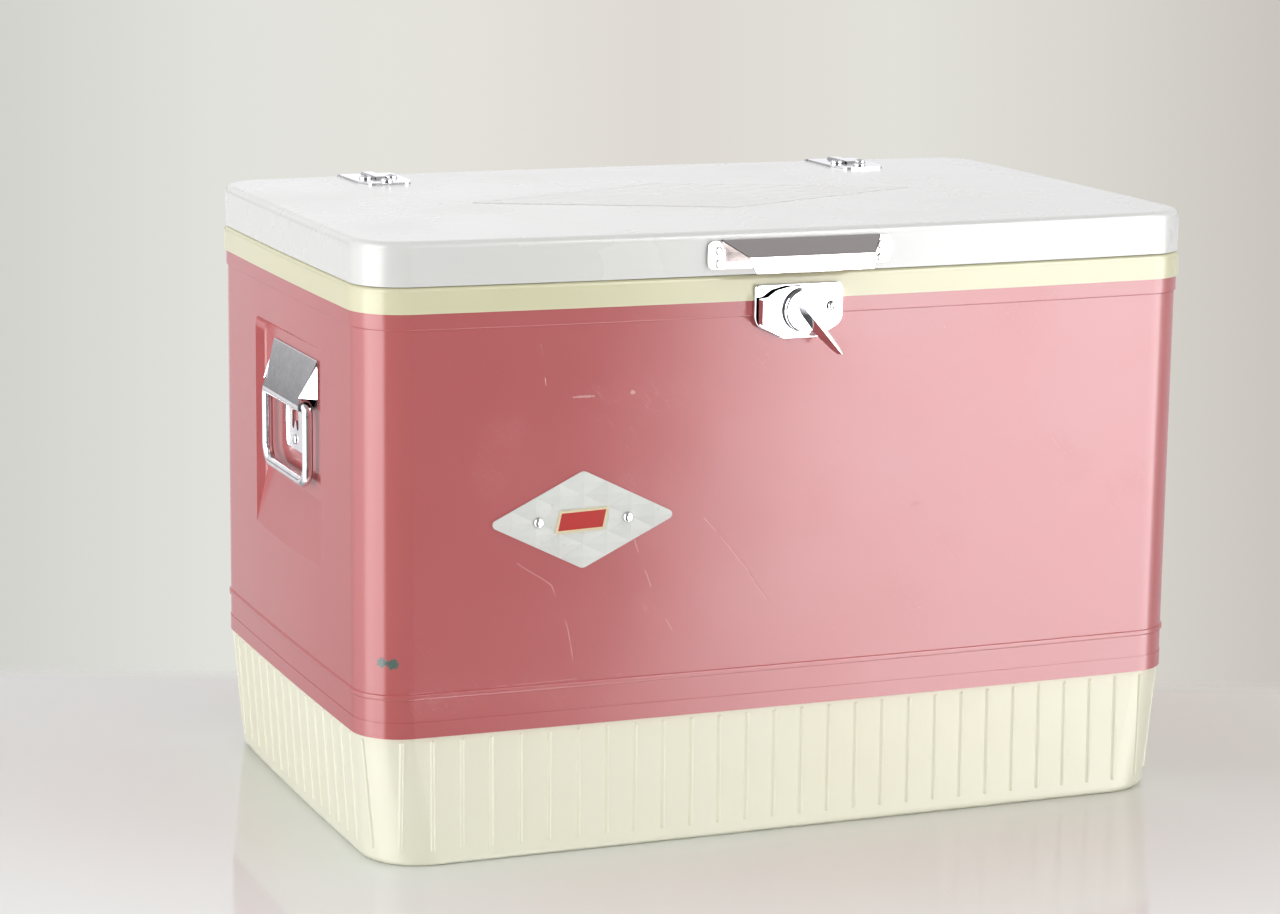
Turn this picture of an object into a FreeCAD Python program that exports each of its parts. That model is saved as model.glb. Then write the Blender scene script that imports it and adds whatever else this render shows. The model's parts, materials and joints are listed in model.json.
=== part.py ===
import FreeCAD, Part
import math
import os

from FreeCAD import Vector

# A steel-belted picnic cooler chest. Units are millimetres, +Z is up and the origin is on the floor
# under the middle of the chest. The front, with the latch, faces -Y. The handles are on the -X and +X ends.

# ---------------------------------------------------------------- driving dimensions

# heights above the floor
BELT_BOTTOM = 82.6
RIM_BOTTOM = 344.5
RIM_TOP = 360.5
LID_BOTTOM = 360.9
LID_TOP = 388.0

# plan of the steel belt: a rounded rectangle whose sides bow outward
BELT_HALF_WIDTH = 282.5
BELT_HALF_DEPTH = 167.35  # at the corners, before the bow of the front is added
BELT_CORNER = 31.0
FRONT_BOW_LOW = 2.5  # at the belt's bottom edge
FRONT_BOW_HIGH = 7.8  # at the rim
END_BOW = 1.3

STEEL = 0.8  # sheet thickness of belt and lid
PLASTIC = 2.5  # wall of the liner mouldings
FIT_GAP = 0.3  # between nested shells

# belt details
BELT_TOP_HIDDEN = 350.0  # the belt runs up behind the rim's skirt
HEM_HEIGHT = 10.0
BOTTOM_BAND_PROUD = 0.35
BEAD_MIDDLE = 108.6
BEAD_WIDTH = 3.6
BEAD_PROUD = 1.1
TOP_BAND_BOTTOM = 334.5
TOP_BAND_PROUD = 1.0

# base pan
PAN_FLOOR_HALF_WIDTH = 275.3
PAN_FLOOR_HALF_DEPTH = 168.7
PAN_FLOOR_CORNER = 38.7
PAN_FLOOR_BOW = 0.55  # of the floor's front edge
PAN_INSET = 1.6  # of the pan's top under the belt's outer face
PAN_WALL = 3.0
PAN_FLOOR = 4.0
PAN_TOP = 95.0
PAN_EDGE_ROUND = 4.5
RIB_PITCH_FRONT = 19.0
RIB_SHIFT = -1.3  # of the front and back ribs, sideways
RIBS_PER_HALF_FRONT = 14
RIB_PITCH_END = 18.3
RIBS_PER_HALF_END = 8
RIB_RADIUS = 1.7
RIB_SUNK = 0.6
RIB_LOW = 11.0
RIB_HIGH = 78.5

# rim and tub
RIM_PROUD = 2.0
RIM_SKIRT = 1.7
RIM_PLATE = 3.0
RIM_ROUND = 3.0
TUB_HALF_WIDTH = 243.0
TUB_HALF_DEPTH = 128.0
TUB_CORNER = 24.0
TUB_FLOOR = 49.0
TUB_DRAFT = 7.0
TUB_FLOOR_ROUND = 6.0

# lid
LID_PROUD = 1.0
LID_ROUND = 5.0
LID_HEM = 4.4
LID_PLATE_BOTTOM = 362.3
LID_PLATE = 3.0
PLUG_HALF_WIDTH = 238.0
PLUG_HALF_DEPTH = 123.0
PLUG_CORNER = 20.0
PLUG_BOTTOM = 340.0
PLUG_DRAFT = 3.0
EMBOSS_HALF_LENGTH = 156.0
EMBOSS_HALF_DEPTH = 68.0
EMBOSS_GRID = 8  # pyramids along each side of the diamond in the lid's top
EMBOSS_SUNK = 0.4
EMBOSS_FOOT = 0.35
EMBOSS_PEAK = 0.55  # of each pyramid, above the foot

# recess pressed into each end of the belt for the handle
RECESS_FLOOR = 275.6  # distance of its floor from the middle plane
RECESS_HALF_WIDTH = 69.0
RECESS_TOP = 307.0
RECESS_RAMP_START = 210.0
RECESS_RAMP_END = 171.0
RECESS_CORNER = 9.0

# handle bracket and bail
HANDLE_Y = -3.5  # both handles sit a little in front of the middle
BRACKET_SHEET = 1.2
BRACKET_TOP = 299.0
BRACKET_HALF_WIDTH = 49.0
BRACKET_BOTTOM = 234.0
BARREL_OUT = 282.4  # distance of the bail's axis from the middle plane
BARREL_UP = 268.5
BARREL_HALF_LENGTH = 40.0
BAIL_RADIUS = 3.4
BAIL_HALF_WIDTH = 45.7
BAIL_DROP = 48.5
BAIL_TOP_BEND = 5.4
BAIL_BOTTOM_BEND = 12.0

# latch, all about its pivot
HARDWARE_X = -3.8  # latch and lid pull sit a little left of the middle
LATCH_UP = 338.5
LATCH_SHEET = 1.2
LATCH_FACE = 180.4  # distance of the back plate's front from the middle plane
CAM_BACK = 183.0
CAM_SHEET = 1.3
CAM_REACH = 28.4
CAM_FLANGE = 6.5
CAM_HALF_HEIGHT = 7.8
HUB_RADIUS = 14.0
HUB_BACK = 184.6
HUB_THICKNESS = 3.2
LEVER_LENGTH = 32.5
LEVER_ANGLE = -53.0  # direction of the lever's tip at rest, degrees from +X towards +Z
BACKING_GAP = 0.6  # between the belt and the strip behind it
BACKING_SHEET = 2.0
PIVOT_RADIUS = 3.0

# lid pull
PULL_HALF_WIDTH = 62.0
PULL_TOP = 384.4
PULL_PLATE_TOP = 382.3
PULL_BOTTOM = 365.0
PULL_SHEET = 1.2
PULL_RIDGE_OUT = 19.5  # from the lid's face to the fold along the middle of the hood
PULL_RIDGE_UP = 374.0
PULL_LIP_OUT = 24.3
PULL_LIP_UP = 364.6
PULL_TAB_INNER = 186.8  # distance of the tab's inner edge from the middle plane

# hinges
HINGE_X = 176.0
HINGE_HALF_WIDTH = 19.0
HINGE_SHEET = 1.2
PIN_RADIUS = 2.5
PIN_Y = 178.6
PIN_Z = 361.0
LEAF_FRONT = 110.0

# badge
BADGE_X = -143.5
BADGE_Z = 213.0
BADGE_HALF_WIDTH = 62.0
BADGE_HALF_HEIGHT = 30.8
BADGE_RIVET_SPACING = 29.0
BADGE_GRID = 4  # pyramids along each side
BADGE_BACK = 0.15  # from the belt to the plate's back
BADGE_FOOT = 1.1
BADGE_PEAK = 1.2
BADGE_LABEL_SEAT = 1.7
BADGE_RIVET_SEAT = 1.5

# drain in the +X end
DRAIN_Z = 66.5
DRAIN_TUBE = 7.5
DRAIN_BORE = 5.8
DRAIN_PAD = 281.9
DRAIN_PAD_RADIUS = 15.0
DRAIN_FACE = 236.1  # where the inner gasket lies on the tub's wall
DRAIN_SEAL_RADIUS = 10.8
DRAIN_SEAL = 1.2
SPOUT_FLANGE = 1.6
CAP_RADIUS = 12.0
CAP_LENGTH = 9.6
CAP_SEAL = 1.0
CAP_GRIPS = 18

RUNNING = 0.05  # clearance between pieces that touch

CAP_SEAT = DRAIN_PAD + RUNNING + SPOUT_FLANGE + RUNNING  # where the cap's seal rests on the spout

X = Vector(1, 0, 0)
Y = Vector(0, 1, 0)
Z = Vector(0, 0, 1)


# ---------------------------------------------------------------- flat shapes

def in_plane(plane, at, p, q):
    """Point (p, q) of the named plane, which stands at AT along its normal."""
    if plane == "xy":
        return Vector(p, q, at)
    if plane == "xz":
        return Vector(p, at, q)
    return Vector(at, p, q)


def corner_cut(before, corner, after, radius):
    """Where a corner's rounding starts, its middle, and where it ends."""
    back = (before - corner).normalize()
    ahead = (after - corner).normalize()
    half = back.getAngle(ahead) / 2
    reach = radius / math.tan(half)
    inward = (back + ahead).normalize()
    middle = corner + inward * (radius / math.sin(half) - radius)
    return corner + back * reach, middle, corner + ahead * reach


def rounded_face(points, radii, plane, at):
    """A polygon with each corner rounded to its own radius; 0 leaves it sharp."""
    corners = [in_plane(plane, at, p, q) for p, q in points]
    cuts = []
    for i, corner in enumerate(corners):
        if radii[i] > 0:
            cuts.append(corner_cut(corners[i - 1], corner, corners[(i + 1) % len(corners)], radii[i]))
        else:
            cuts.append((corner, None, corner))
    edges = []
    for i, (start, middle, end) in enumerate(cuts):
        if middle is not None:
            edges.append(Part.Arc(start, middle, end).toShape())
        following = cuts[(i + 1) % len(cuts)][0]
        if (following - end).Length > 1e-4:
            edges.append(Part.LineSegment(end, following).toShape())
    return Part.Face(Part.Wire(edges))


def prism(points, radii, plane, low, high):
    """The rounded polygon pushed from LOW to HIGH along the plane's normal."""
    if isinstance(radii, (int, float)):
        radii = [radii] * len(points)
    normal = {"xy": Z, "xz": Y, "yz": X}[plane]
    return rounded_face(points, radii, plane, low).extrude(normal * (high - low))


def bent_strip(points, thickness, bends):
    """Outline of a sheet of even thickness bent along a line of points, with its corner radii.

    BENDS holds the middle line's radius at each inner point.
    """
    half = thickness / 2
    lines = [Vector(p, q, 0) for p, q in points]
    sides = []
    for sign in (1, -1):
        side = []
        for i, point in enumerate(lines):
            first = (lines[i] - lines[i - 1]).normalize() if i > 0 else None
            last = (lines[i + 1] - lines[i]).normalize() if i < len(lines) - 1 else None
            first = first or last
            last = last or first
            across = (Z.cross(first) + Z.cross(last)).normalize()
            reach = half / across.dot(Z.cross(first))
            turn = first.cross(last).z
            radius = 0 if abs(turn) < 1e-6 else bends[i - 1] - sign * half * (1 if turn > 0 else -1)
            side.append((point + across * reach * sign, radius))
        sides.append(side)
    loop = sides[0] + sides[1][::-1]
    return [(p.x, p.y) for p, _ in loop], [r for _, r in loop]


def box(x0, x1, y0, y1, z0, z1):
    return Part.makeBox(x1 - x0, y1 - y0, z1 - z0, Vector(x0, y0, z0))


def rod(base, direction, radius, length):
    return Part.makeCylinder(radius, length, base, direction)


def turned(profile, radii, base, direction):
    """A solid of revolution: PROFILE is (radius, height) points, HEIGHT runs from BASE along DIRECTION."""
    shape = rounded_face(profile, radii, "xz", 0).revolve(Vector(0, 0, 0), Z, 360)
    shape.Placement = FreeCAD.Placement(base, FreeCAD.Rotation(Z, direction))
    return shape


def capsule(start, end, radius):
    """A round bar with round ends."""
    length = (end - start).Length
    profile = [(0, -radius), (radius, -radius), (radius, length + radius), (0, length + radius)]
    return turned(profile, [0, radius, radius, 0], start, (end - start).normalize())


def joined(shapes):
    whole = shapes[0].multiFuse(shapes[1:]) if len(shapes) > 1 else shapes[0]
    return whole.removeSplitter()


def fillet(shape, radius, wanted):
    """Round the edges for which WANTED says yes."""
    return shape.makeFillet(radius, [edge for edge in shape.Edges if wanted(edge)])


def lies_at_height(edge, height):
    return edge.BoundBox.ZLength < 0.01 and abs(edge.BoundBox.ZMin - height) < 0.01


# ---------------------------------------------------------------- the bowed rounded rectangle

class Outline:
    """A rounded rectangle whose four sides are arcs that meet the corner arcs without a kink."""

    def __init__(self, half_width, half_depth, corner, front_bow=0.0, end_bow=0.0):
        self.half_width = half_width
        self.half_depth = half_depth
        self.corner = corner
        front = front_bow / (half_width - corner)
        end = end_bow / (half_depth - corner)
        self.front_turn = 2 * math.atan(front)
        self.end_turn = 2 * math.atan(end)
        self.cx = (half_width - corner - end * (half_depth - corner)) / (1 - end * front)
        self.cy = half_depth - corner - self.cx * front

    def grown(self, by):
        """The same outline moved outward by BY."""
        bigger = Outline.__new__(Outline)
        bigger.__dict__.update(self.__dict__)
        bigger.half_width = self.half_width + by
        bigger.half_depth = self.half_depth + by
        bigger.corner = self.corner + by
        return bigger

    def wire(self, z):
        """Eight edges: a corner arc and a side for each quarter, counter-clockwise from the +X side."""
        edges = []
        for sx, sy in ((1, 1), (-1, 1), (-1, -1), (1, -1)):
            end_joint = self.corner_point(sx, sy, self.end_turn, z)
            middle = self.corner_point(sx, sy, (self.end_turn + math.pi / 2 - self.front_turn) / 2, z)
            front_joint = self.corner_point(sx, sy, math.pi / 2 - self.front_turn, z)
            edges.append((end_joint, middle, front_joint))
        quarter_1, quarter_2, quarter_3, quarter_4 = edges
        front_apex = Vector(0, self.half_depth, z)
        end_apex = Vector(self.half_width, 0, z)
        loop = [
            Part.Arc(*quarter_1),
            side(quarter_1[2], front_apex, quarter_2[2]),
            Part.Arc(*quarter_2[::-1]),
            side(quarter_2[0], Vector(-end_apex.x, 0, z), quarter_3[0]),
            Part.Arc(*quarter_3),
            side(quarter_3[2], Vector(0, -front_apex.y, z), quarter_4[2]),
            Part.Arc(*quarter_4[::-1]),
            side(quarter_4[0], end_apex, quarter_1[0]),
        ]
        return Part.Wire([curve.toShape() for curve in loop])

    def corner_point(self, sx, sy, angle, z):
        return Vector(
            sx * (self.cx + self.corner * math.cos(angle)),
            sy * (self.cy + self.corner * math.sin(angle)),
            z,
        )

    def front_y(self, x):
        """Distance of the front face from the middle plane at X."""
        joint = self.cx + self.corner * math.sin(self.front_turn)
        if abs(x) > joint:
            return self.cy + math.sqrt(max(self.corner**2 - (abs(x) - self.cx) ** 2, 0))
        if self.front_turn == 0:
            return self.half_depth
        radius = self.corner + self.cx / math.sin(self.front_turn)
        return self.half_depth - radius + math.sqrt(radius**2 - x * x)

    def end_x(self, y):
        """Distance of the end face from the middle plane at Y."""
        joint = self.cy + self.corner * math.sin(self.end_turn)
        if abs(y) > joint:
            return self.cx + math.sqrt(max(self.corner**2 - (abs(y) - self.cy) ** 2, 0))
        radius = self.corner + self.cy / math.sin(self.end_turn)
        return self.half_width - radius + math.sqrt(radius**2 - y * y)


def side(start, middle, end):
    """The curve of one side: an arc, or a line where the side has no bow."""
    if abs((end - start).normalize().cross((middle - start).normalize()).z) < 1e-9:
        return Part.LineSegment(start, end)
    return Part.Arc(start, middle, end)


def belt_outline(z):
    """Plan of the belt's outer face at height Z: the front bows more towards the rim."""
    share = min(max((z - BELT_BOTTOM) / (RIM_BOTTOM - BELT_BOTTOM), 0), 1)
    bow = FRONT_BOW_LOW + share * (FRONT_BOW_HIGH - FRONT_BOW_LOW)
    return Outline(BELT_HALF_WIDTH, BELT_HALF_DEPTH + bow, BELT_CORNER, bow, END_BOW)


def pan_outline(z):
    """Plan of the base pan at height Z, between its floor and the belt."""
    share = min(z / BELT_BOTTOM, 1)
    top = belt_outline(BELT_BOTTOM).grown(-PAN_INSET)

    def between(low, high):
        return low + share * (high - low)

    return Outline(
        between(PAN_FLOOR_HALF_WIDTH, top.half_width),
        between(PAN_FLOOR_HALF_DEPTH, top.half_depth),
        between(PAN_FLOOR_CORNER, top.corner),
        between(PAN_FLOOR_BOW, FRONT_BOW_LOW),
        END_BOW,
    )


def between_outlines(low, z_low, high, z_high):
    return Part.makeLoft([low.wire(z_low), high.wire(z_high)], True, True)


def belt_band(z_low, z_high, grow):
    """The solid inside the belt's outline between two heights, moved outward by GROW."""
    return between_outlines(belt_outline(z_low).grown(grow), z_low, belt_outline(z_high).grown(grow), z_high)


def upper_band(z_low, z_high, grow):
    """The same above the belt, where the walls are upright."""
    plan = belt_outline(RIM_BOTTOM).grown(grow)
    return between_outlines(plan, z_low, plan, z_high)


def pan_band(z_low, z_high, grow):
    return between_outlines(pan_outline(z_low).grown(grow), z_low, pan_outline(z_high).grown(grow), z_high)


def front_face(z, grow=0.0, x=0.0):
    """Y of the chest's front surface at (X, Z), negative because the front faces -Y."""
    return -belt_outline(z).grown(grow).front_y(x)


# ---------------------------------------------------------------- fasteners

def rivet(seat, outward, head_radius, head_height, shank_radius, grip, tail_radius, tail_height):
    """A domed rivet: SEAT is where its head sits, GRIP the thickness that it clamps."""
    profile = [
        (0, -grip - tail_height),
        (tail_radius, -grip - tail_height),
        (tail_radius, -grip),
        (shank_radius, -grip),
        (shank_radius, 0),
        (head_radius, 0),
        (head_radius, head_height),
        (0, head_height),
    ]
    radii = [0, tail_height * 0.6, 0, 0, 0, 0, head_height * 0.95, 0]
    return turned(profile, radii, seat, outward)


def cross_head_screw(seat, outward, head_radius, head_height, shank_radius, length):
    """A pan-head screw with a cross recess and a pointed end."""
    profile = [
        (0, -length),
        (shank_radius, -length + shank_radius * 2),
        (shank_radius, 0),
        (head_radius, 0),
        (head_radius, head_height),
        (0, head_height),
    ]
    screw = turned(profile, [0, 0, 0, 0, head_height * 0.8, 0], seat, outward)
    arm = head_radius * 0.62
    width = head_radius * 0.13
    recess = box(-arm, arm, -width, width, head_height * 0.35, head_height + 1)
    recess = recess.fuse(box(-width, width, -arm, arm, head_height * 0.35, head_height + 1))
    recess.Placement = FreeCAD.Placement(seat, FreeCAD.Rotation(Z, outward))
    return screw.cut(recess)


# ---------------------------------------------------------------- base pan

def pan_rib_spots():
    """Foot and head of each upright rib, just under the pan's outer face."""
    spots = []
    for k in range(RIBS_PER_HALF_FRONT):
        for sx in (1, -1):
            for sy in (1, -1):
                x = sx * RIB_PITCH_FRONT * (k + 0.5) + RIB_SHIFT
                spots.append([
                    Vector(x, sy * (pan_outline(z).front_y(x) - RIB_SUNK), z) for z in (RIB_LOW, RIB_HIGH)
                ])
    for k in range(-RIBS_PER_HALF_END, RIBS_PER_HALF_END + 1):
        for sx in (1, -1):
            y = k * RIB_PITCH_END
            spots.append([
                Vector(sx * (pan_outline(z).end_x(y) - RIB_SUNK), y, z) for z in (RIB_LOW, RIB_HIGH)
            ])
    return spots


def base_pan():
    body = fillet(pan_band(0, BELT_BOTTOM, 0), PAN_EDGE_ROUND, lambda edge: lies_at_height(edge, 0))
    neck = pan_band(BELT_BOTTOM, PAN_TOP, 0)
    ribs = [capsule(foot, head, RIB_RADIUS) for foot, head in pan_rib_spots()]
    pad = rod(Vector(DRAIN_PAD - 12, 0, DRAIN_Z), X, DRAIN_PAD_RADIUS, 12)
    pan = joined([body, neck, pad] + ribs)
    hollow = pan_band(PAN_FLOOR, BELT_BOTTOM, -PAN_WALL)
    hollow = hollow.fuse(pan_band(BELT_BOTTOM, PAN_TOP + 1, -PAN_WALL))
    pan = pan.cut(hollow)
    return pan.cut(drain_hole())


def drain_hole():
    return rod(Vector(TUB_HALF_WIDTH - 20, 0, DRAIN_Z), X, DRAIN_TUBE + 0.2, 80)


# ---------------------------------------------------------------- steel belt

def recess(grow):
    """The space of the handle's recess in the +X end; GROW thickens it by the sheet's thickness."""
    far = 292.0
    floor = RECESS_FLOOR - grow
    ramp = (RECESS_RAMP_START - RECESS_RAMP_END) / (BELT_HALF_WIDTH - RECESS_FLOOR)
    start = RECESS_RAMP_START - grow * 0.15
    top = RECESS_TOP + grow
    half = RECESS_HALF_WIDTH + grow
    upright = prism(
        [(floor, start), (far, start - (far - floor) * ramp), (far, top + (far - floor) * 0.6), (floor, top)],
        0, "xz", -half - 20, half + 20,
    )
    flare = (far - floor) * 0.6
    plan = [(floor, -half), (far, -half - flare), (far, half + flare), (floor, half)]
    level = prism(plan, 0, "xy", RECESS_RAMP_END - 70, RECESS_TOP + 23)
    void = upright.common(level)
    void = fillet(void, RECESS_CORNER + grow, lambda edge: is_recess_corner(edge, top, floor))
    void = fillet(void, 3.0 + grow, lambda edge: abs(edge.BoundBox.XMax - floor) < 0.01)
    return at_handle(void)


def is_recess_corner(edge, top, floor):
    """The two edges that run outward from the floor's top corners."""
    near = abs(edge.BoundBox.XMin - floor) < 0.01 and edge.BoundBox.XLength > 5
    return near and abs(edge.BoundBox.ZMin - top) < 0.01 and edge.BoundBox.YLength > 5


def at_handle(shape):
    """A shape built about the middle plane, moved to where the handles sit."""
    return shape.translated(Vector(0, HANDLE_Y, 0))


def mirrored(shape):
    return shape.mirror(Vector(0, 0, 0), X)


def both_ends(shape):
    return [shape, mirrored(shape)]


def belt_bead():
    bead = belt_band(BEAD_MIDDLE - BEAD_WIDTH / 2, BEAD_MIDDLE + BEAD_WIDTH / 2, BEAD_PROUD)
    return fillet(bead, BEAD_PROUD * 0.95, lambda edge: edge.BoundBox.ZLength < 0.01)


def steel_belt():
    outside = belt_band(BELT_BOTTOM, BELT_TOP_HIDDEN, 0)
    bottom_band = belt_band(BELT_BOTTOM, BELT_BOTTOM + HEM_HEIGHT, BOTTOM_BAND_PROUD)
    top_band = belt_band(TOP_BAND_BOTTOM, RIM_BOTTOM - 0.1, TOP_BAND_PROUD)
    top_band = fillet(top_band, TOP_BAND_PROUD * 0.8, lambda edge: lies_at_height(edge, TOP_BAND_BOTTOM))
    outside = joined([outside, bottom_band, belt_bead(), top_band])
    inside = belt_band(BELT_BOTTOM - 1, BELT_TOP_HIDDEN + 1, -STEEL)
    for void in both_ends(recess(0)):
        outside = outside.cut(void)
    for void in both_ends(recess(STEEL)):
        inside = inside.cut(void)
    hem = belt_band(BELT_BOTTOM, BELT_BOTTOM + HEM_HEIGHT, -STEEL / 2)
    hem = hem.cut(belt_band(BELT_BOTTOM - 1, BELT_BOTTOM + HEM_HEIGHT + 1, -2 * STEEL))
    belt = joined([outside.cut(inside), hem])
    for hole in belt_holes():
        belt = belt.cut(hole)
    return belt


def belt_holes():
    """Clearance holes for every rivet and screw that passes through the belt."""
    holes = [at_handle(rod(Vector(RECESS_FLOOR - 10, y, z), X, 1.65, 20)) for y, z in BRACKET_RIVETS]
    holes += [mirrored(hole) for hole in holes]
    holes += [rod(Vector(x, -190, LATCH_SCREW_UP), Y, 1.9, 30) for x in LATCH_SCREWS]
    holes.append(rod(Vector(HARDWARE_X, -190, LATCH_UP), Y, PIVOT_RADIUS + 0.2, 30))
    holes += [rod(Vector(BADGE_X + dx, -185, BADGE_Z), Y, 1.6, 30) for dx in BADGE_RIVETS]
    holes += [rod(Vector(x, 160, z), Y, 1.9, 30) for x, z in lower_screw_spots()]
    return holes


# ---------------------------------------------------------------- tub, rim and foam

def tub_space(grow, z_low, z_high):
    """The tub's hollow, which narrows towards its floor; GROW moves its walls outward."""
    top = Outline(TUB_HALF_WIDTH, TUB_HALF_DEPTH, TUB_CORNER).grown(grow)
    bottom = Outline(TUB_HALF_WIDTH - TUB_DRAFT, TUB_HALF_DEPTH - TUB_DRAFT, TUB_CORNER).grown(grow)
    space = between_outlines(bottom, z_low, top, z_high)
    return fillet(space, TUB_FLOOR_ROUND + grow, lambda edge: lies_at_height(edge, z_low))


def inner_liner():
    collar = upper_band(RIM_BOTTOM, RIM_TOP, RIM_PROUD)
    collar = fillet(collar, RIM_ROUND, lambda edge: lies_at_height(edge, RIM_TOP))
    collar = collar.cut(upper_band(RIM_BOTTOM - 1, RIM_TOP - RIM_PLATE, RIM_PROUD - RIM_SKIRT))
    tub = tub_space(PLASTIC, TUB_FLOOR - PLASTIC, RIM_TOP - 0.5)
    liner = joined([collar, tub]).cut(tub_space(0, TUB_FLOOR, RIM_TOP + 1))
    liner = liner.cut(drain_hole())
    for x, z in lower_screw_spots():
        liner = liner.cut(rod(Vector(x, 160, z), Y, 1.9, 30))
    return liner


def body_insulation():
    low = pan_band(PAN_FLOOR + FIT_GAP, BELT_BOTTOM, -PAN_WALL - FIT_GAP)
    neck = pan_band(BELT_BOTTOM, PAN_TOP + 1, -PAN_WALL - FIT_GAP)
    high = belt_band(PAN_TOP + 1, BELT_TOP_HIDDEN, -STEEL - FIT_GAP)
    collar = belt_band(BELT_TOP_HIDDEN, RIM_TOP - RIM_PLATE - FIT_GAP, -STEEL - FIT_GAP)
    foam = joined([low, neck, high, collar])
    foam = foam.cut(tub_space(PLASTIC + FIT_GAP, TUB_FLOOR - PLASTIC - FIT_GAP, RIM_TOP + 1))
    for void in both_ends(recess(STEEL + FIT_GAP)):
        foam = foam.cut(void)
    pocket = at_handle(box(RECESS_FLOOR - 9, RECESS_FLOOR, -50, 50, 230, 302))
    for void in both_ends(pocket):
        foam = foam.cut(void)
    foam = foam.cut(box(HARDWARE_X - 32, HARDWARE_X + 32, -185, -160, LATCH_UP - 12, LATCH_UP + 12))
    for dx in BADGE_RIVETS:
        foam = foam.cut(rod(Vector(BADGE_X + dx, -190, BADGE_Z), Y, 4.5, 30))
    for x, z in lower_screw_spots():
        foam = foam.cut(rod(Vector(x, 150, z), Y, 2.2, 50))
    return foam.cut(rod(Vector(200, 0, DRAIN_Z), X, DRAIN_TUBE + 0.4, 90))


# ---------------------------------------------------------------- handles

# across and up, of the rivets that hold a bracket
BRACKET_RIVETS = [(-34.0, 288.0), (34.0, 288.0), (0.0, 240.5)]


def handle_bracket():
    """The +X bracket: a plate on the recess floor, a hood folded off its top and a barrel for the bail."""
    back = RECESS_FLOOR + RUNNING
    plate = prism(
        [
            (-BRACKET_HALF_WIDTH, BRACKET_TOP), (BRACKET_HALF_WIDTH, BRACKET_TOP),
            (BRACKET_HALF_WIDTH, 271), (25, 262), (20, BRACKET_BOTTOM), (-20, BRACKET_BOTTOM),
            (-25, 262), (-BRACKET_HALF_WIDTH, 271),
        ],
        [2, 2, 3, 4, 5, 5, 4, 3], "yz", back, back + BRACKET_SHEET,
    )
    slot = prism([(-7, 262), (7, 262), (7, 247), (-7, 247)], [6.5, 6.5, 2, 2], "yz", back - 1, back + 3)
    tooth = prism([(-4, 246), (4, 246), (0, 254)], [0, 0, 1], "yz", back, back + BRACKET_SHEET)
    plate = plate.cut(slot).fuse(tooth)
    hood = joined([hood_panel(back), bracket_barrel()] + [gusset(back, sign) for sign in (1, -1)])
    bracket = joined([plate, hood])
    bore = rod(Vector(BARREL_OUT, -60, BARREL_UP), Y, BAIL_RADIUS + RUNNING, 120)
    bracket = bracket.cut(bore)
    for y, z in BRACKET_RIVETS:
        bracket = bracket.cut(rod(Vector(back - 1, y, z), X, 1.65, 3.5))
    return bracket


def hood_line(back):
    """Middle line of the hood's sheet, out and up, from its fold to its tangent on the barrel."""
    half = BRACKET_SHEET / 2
    top = Vector(back + half, BRACKET_TOP - half, 0)
    axis = Vector(BARREL_OUT, BARREL_UP, 0)
    reach = BAIL_RADIUS + RUNNING + half
    gap = top - axis
    turn = math.acos(reach / gap.Length)
    start = math.atan2(gap.y, gap.x)
    touch = axis + Vector(math.cos(start - turn), math.sin(start - turn), 0) * reach
    return top, touch


def hood_panel(back):
    """The sloping front of the hood, cut to a taper that leaves room for the bail's legs."""
    top, touch = hood_line(back)
    points, radii = bent_strip([(top.x, top.y), (touch.x, touch.y)], BRACKET_SHEET, [])
    panel = prism(points, radii, "xz", -60, 60)
    waist = BARREL_UP + 8
    narrow = BARREL_HALF_LENGTH
    right = [(BRACKET_HALF_WIDTH, BRACKET_TOP + 1), (narrow, waist), (narrow, BARREL_UP - 8)]
    left = [(-y, z) for y, z in right[::-1]]
    taper = prism(right + left, 0, "yz", RECESS_FLOOR - 5, 300)
    return panel.common(taper)


def gusset(back, sign):
    """The triangular side of the hood, from the plate out to the sloping front."""
    top, touch = hood_line(back)
    inset = BRACKET_SHEET
    low_y = sign * (BARREL_HALF_LENGTH - inset)
    top_y = sign * (BRACKET_HALF_WIDTH - inset * 1.6)
    foot_y = sign * (BRACKET_HALF_WIDTH - inset * 1.6)
    z_low = BARREL_UP + BAIL_RADIUS + 2.4
    corner_top = Vector(back + 0.2, top_y, BRACKET_TOP - 3)
    corner_foot = Vector(back + 0.2, foot_y, z_low)
    corner_out = Vector(touch.x - 0.3, low_y, z_low)
    normal = (corner_foot - corner_top).cross(corner_out - corner_top).normalize()
    if normal.y * sign < 0:
        normal = normal * -1
    face = Part.Face(Part.makePolygon([corner_top, corner_foot, corner_out, corner_top]))
    return face.extrude(normal * (inset * 0.8))


def bracket_barrel():
    outer = BAIL_RADIUS + RUNNING + BRACKET_SHEET
    start = Vector(BARREL_OUT, -BARREL_HALF_LENGTH, BARREL_UP)
    return rod(start, Y, outer, 2 * BARREL_HALF_LENGTH)


def handle_rivets():
    seat = RECESS_FLOOR + RUNNING + BRACKET_SHEET
    grip = BRACKET_SHEET + RUNNING + STEEL + 1.5 + 2 * RUNNING
    heads = [rivet(Vector(seat, y, z), X, 3.2, 1.5, 1.6, grip, 2.6, 1.2) for y, z in BRACKET_RIVETS]
    return Part.makeCompound(heads)


def handle_backing_plate():
    """A steel plate behind the belt that spreads the handle's load."""
    face = RECESS_FLOOR - STEEL - RUNNING
    plate = prism([(-46, 298), (46, 298), (24, 233), (-24, 233)], 6, "yz", face - 1.5, face)
    for y, z in BRACKET_RIVETS:
        plate = plate.cut(rod(Vector(face - 3, y, z), X, 1.65, 6))
    return plate


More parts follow.
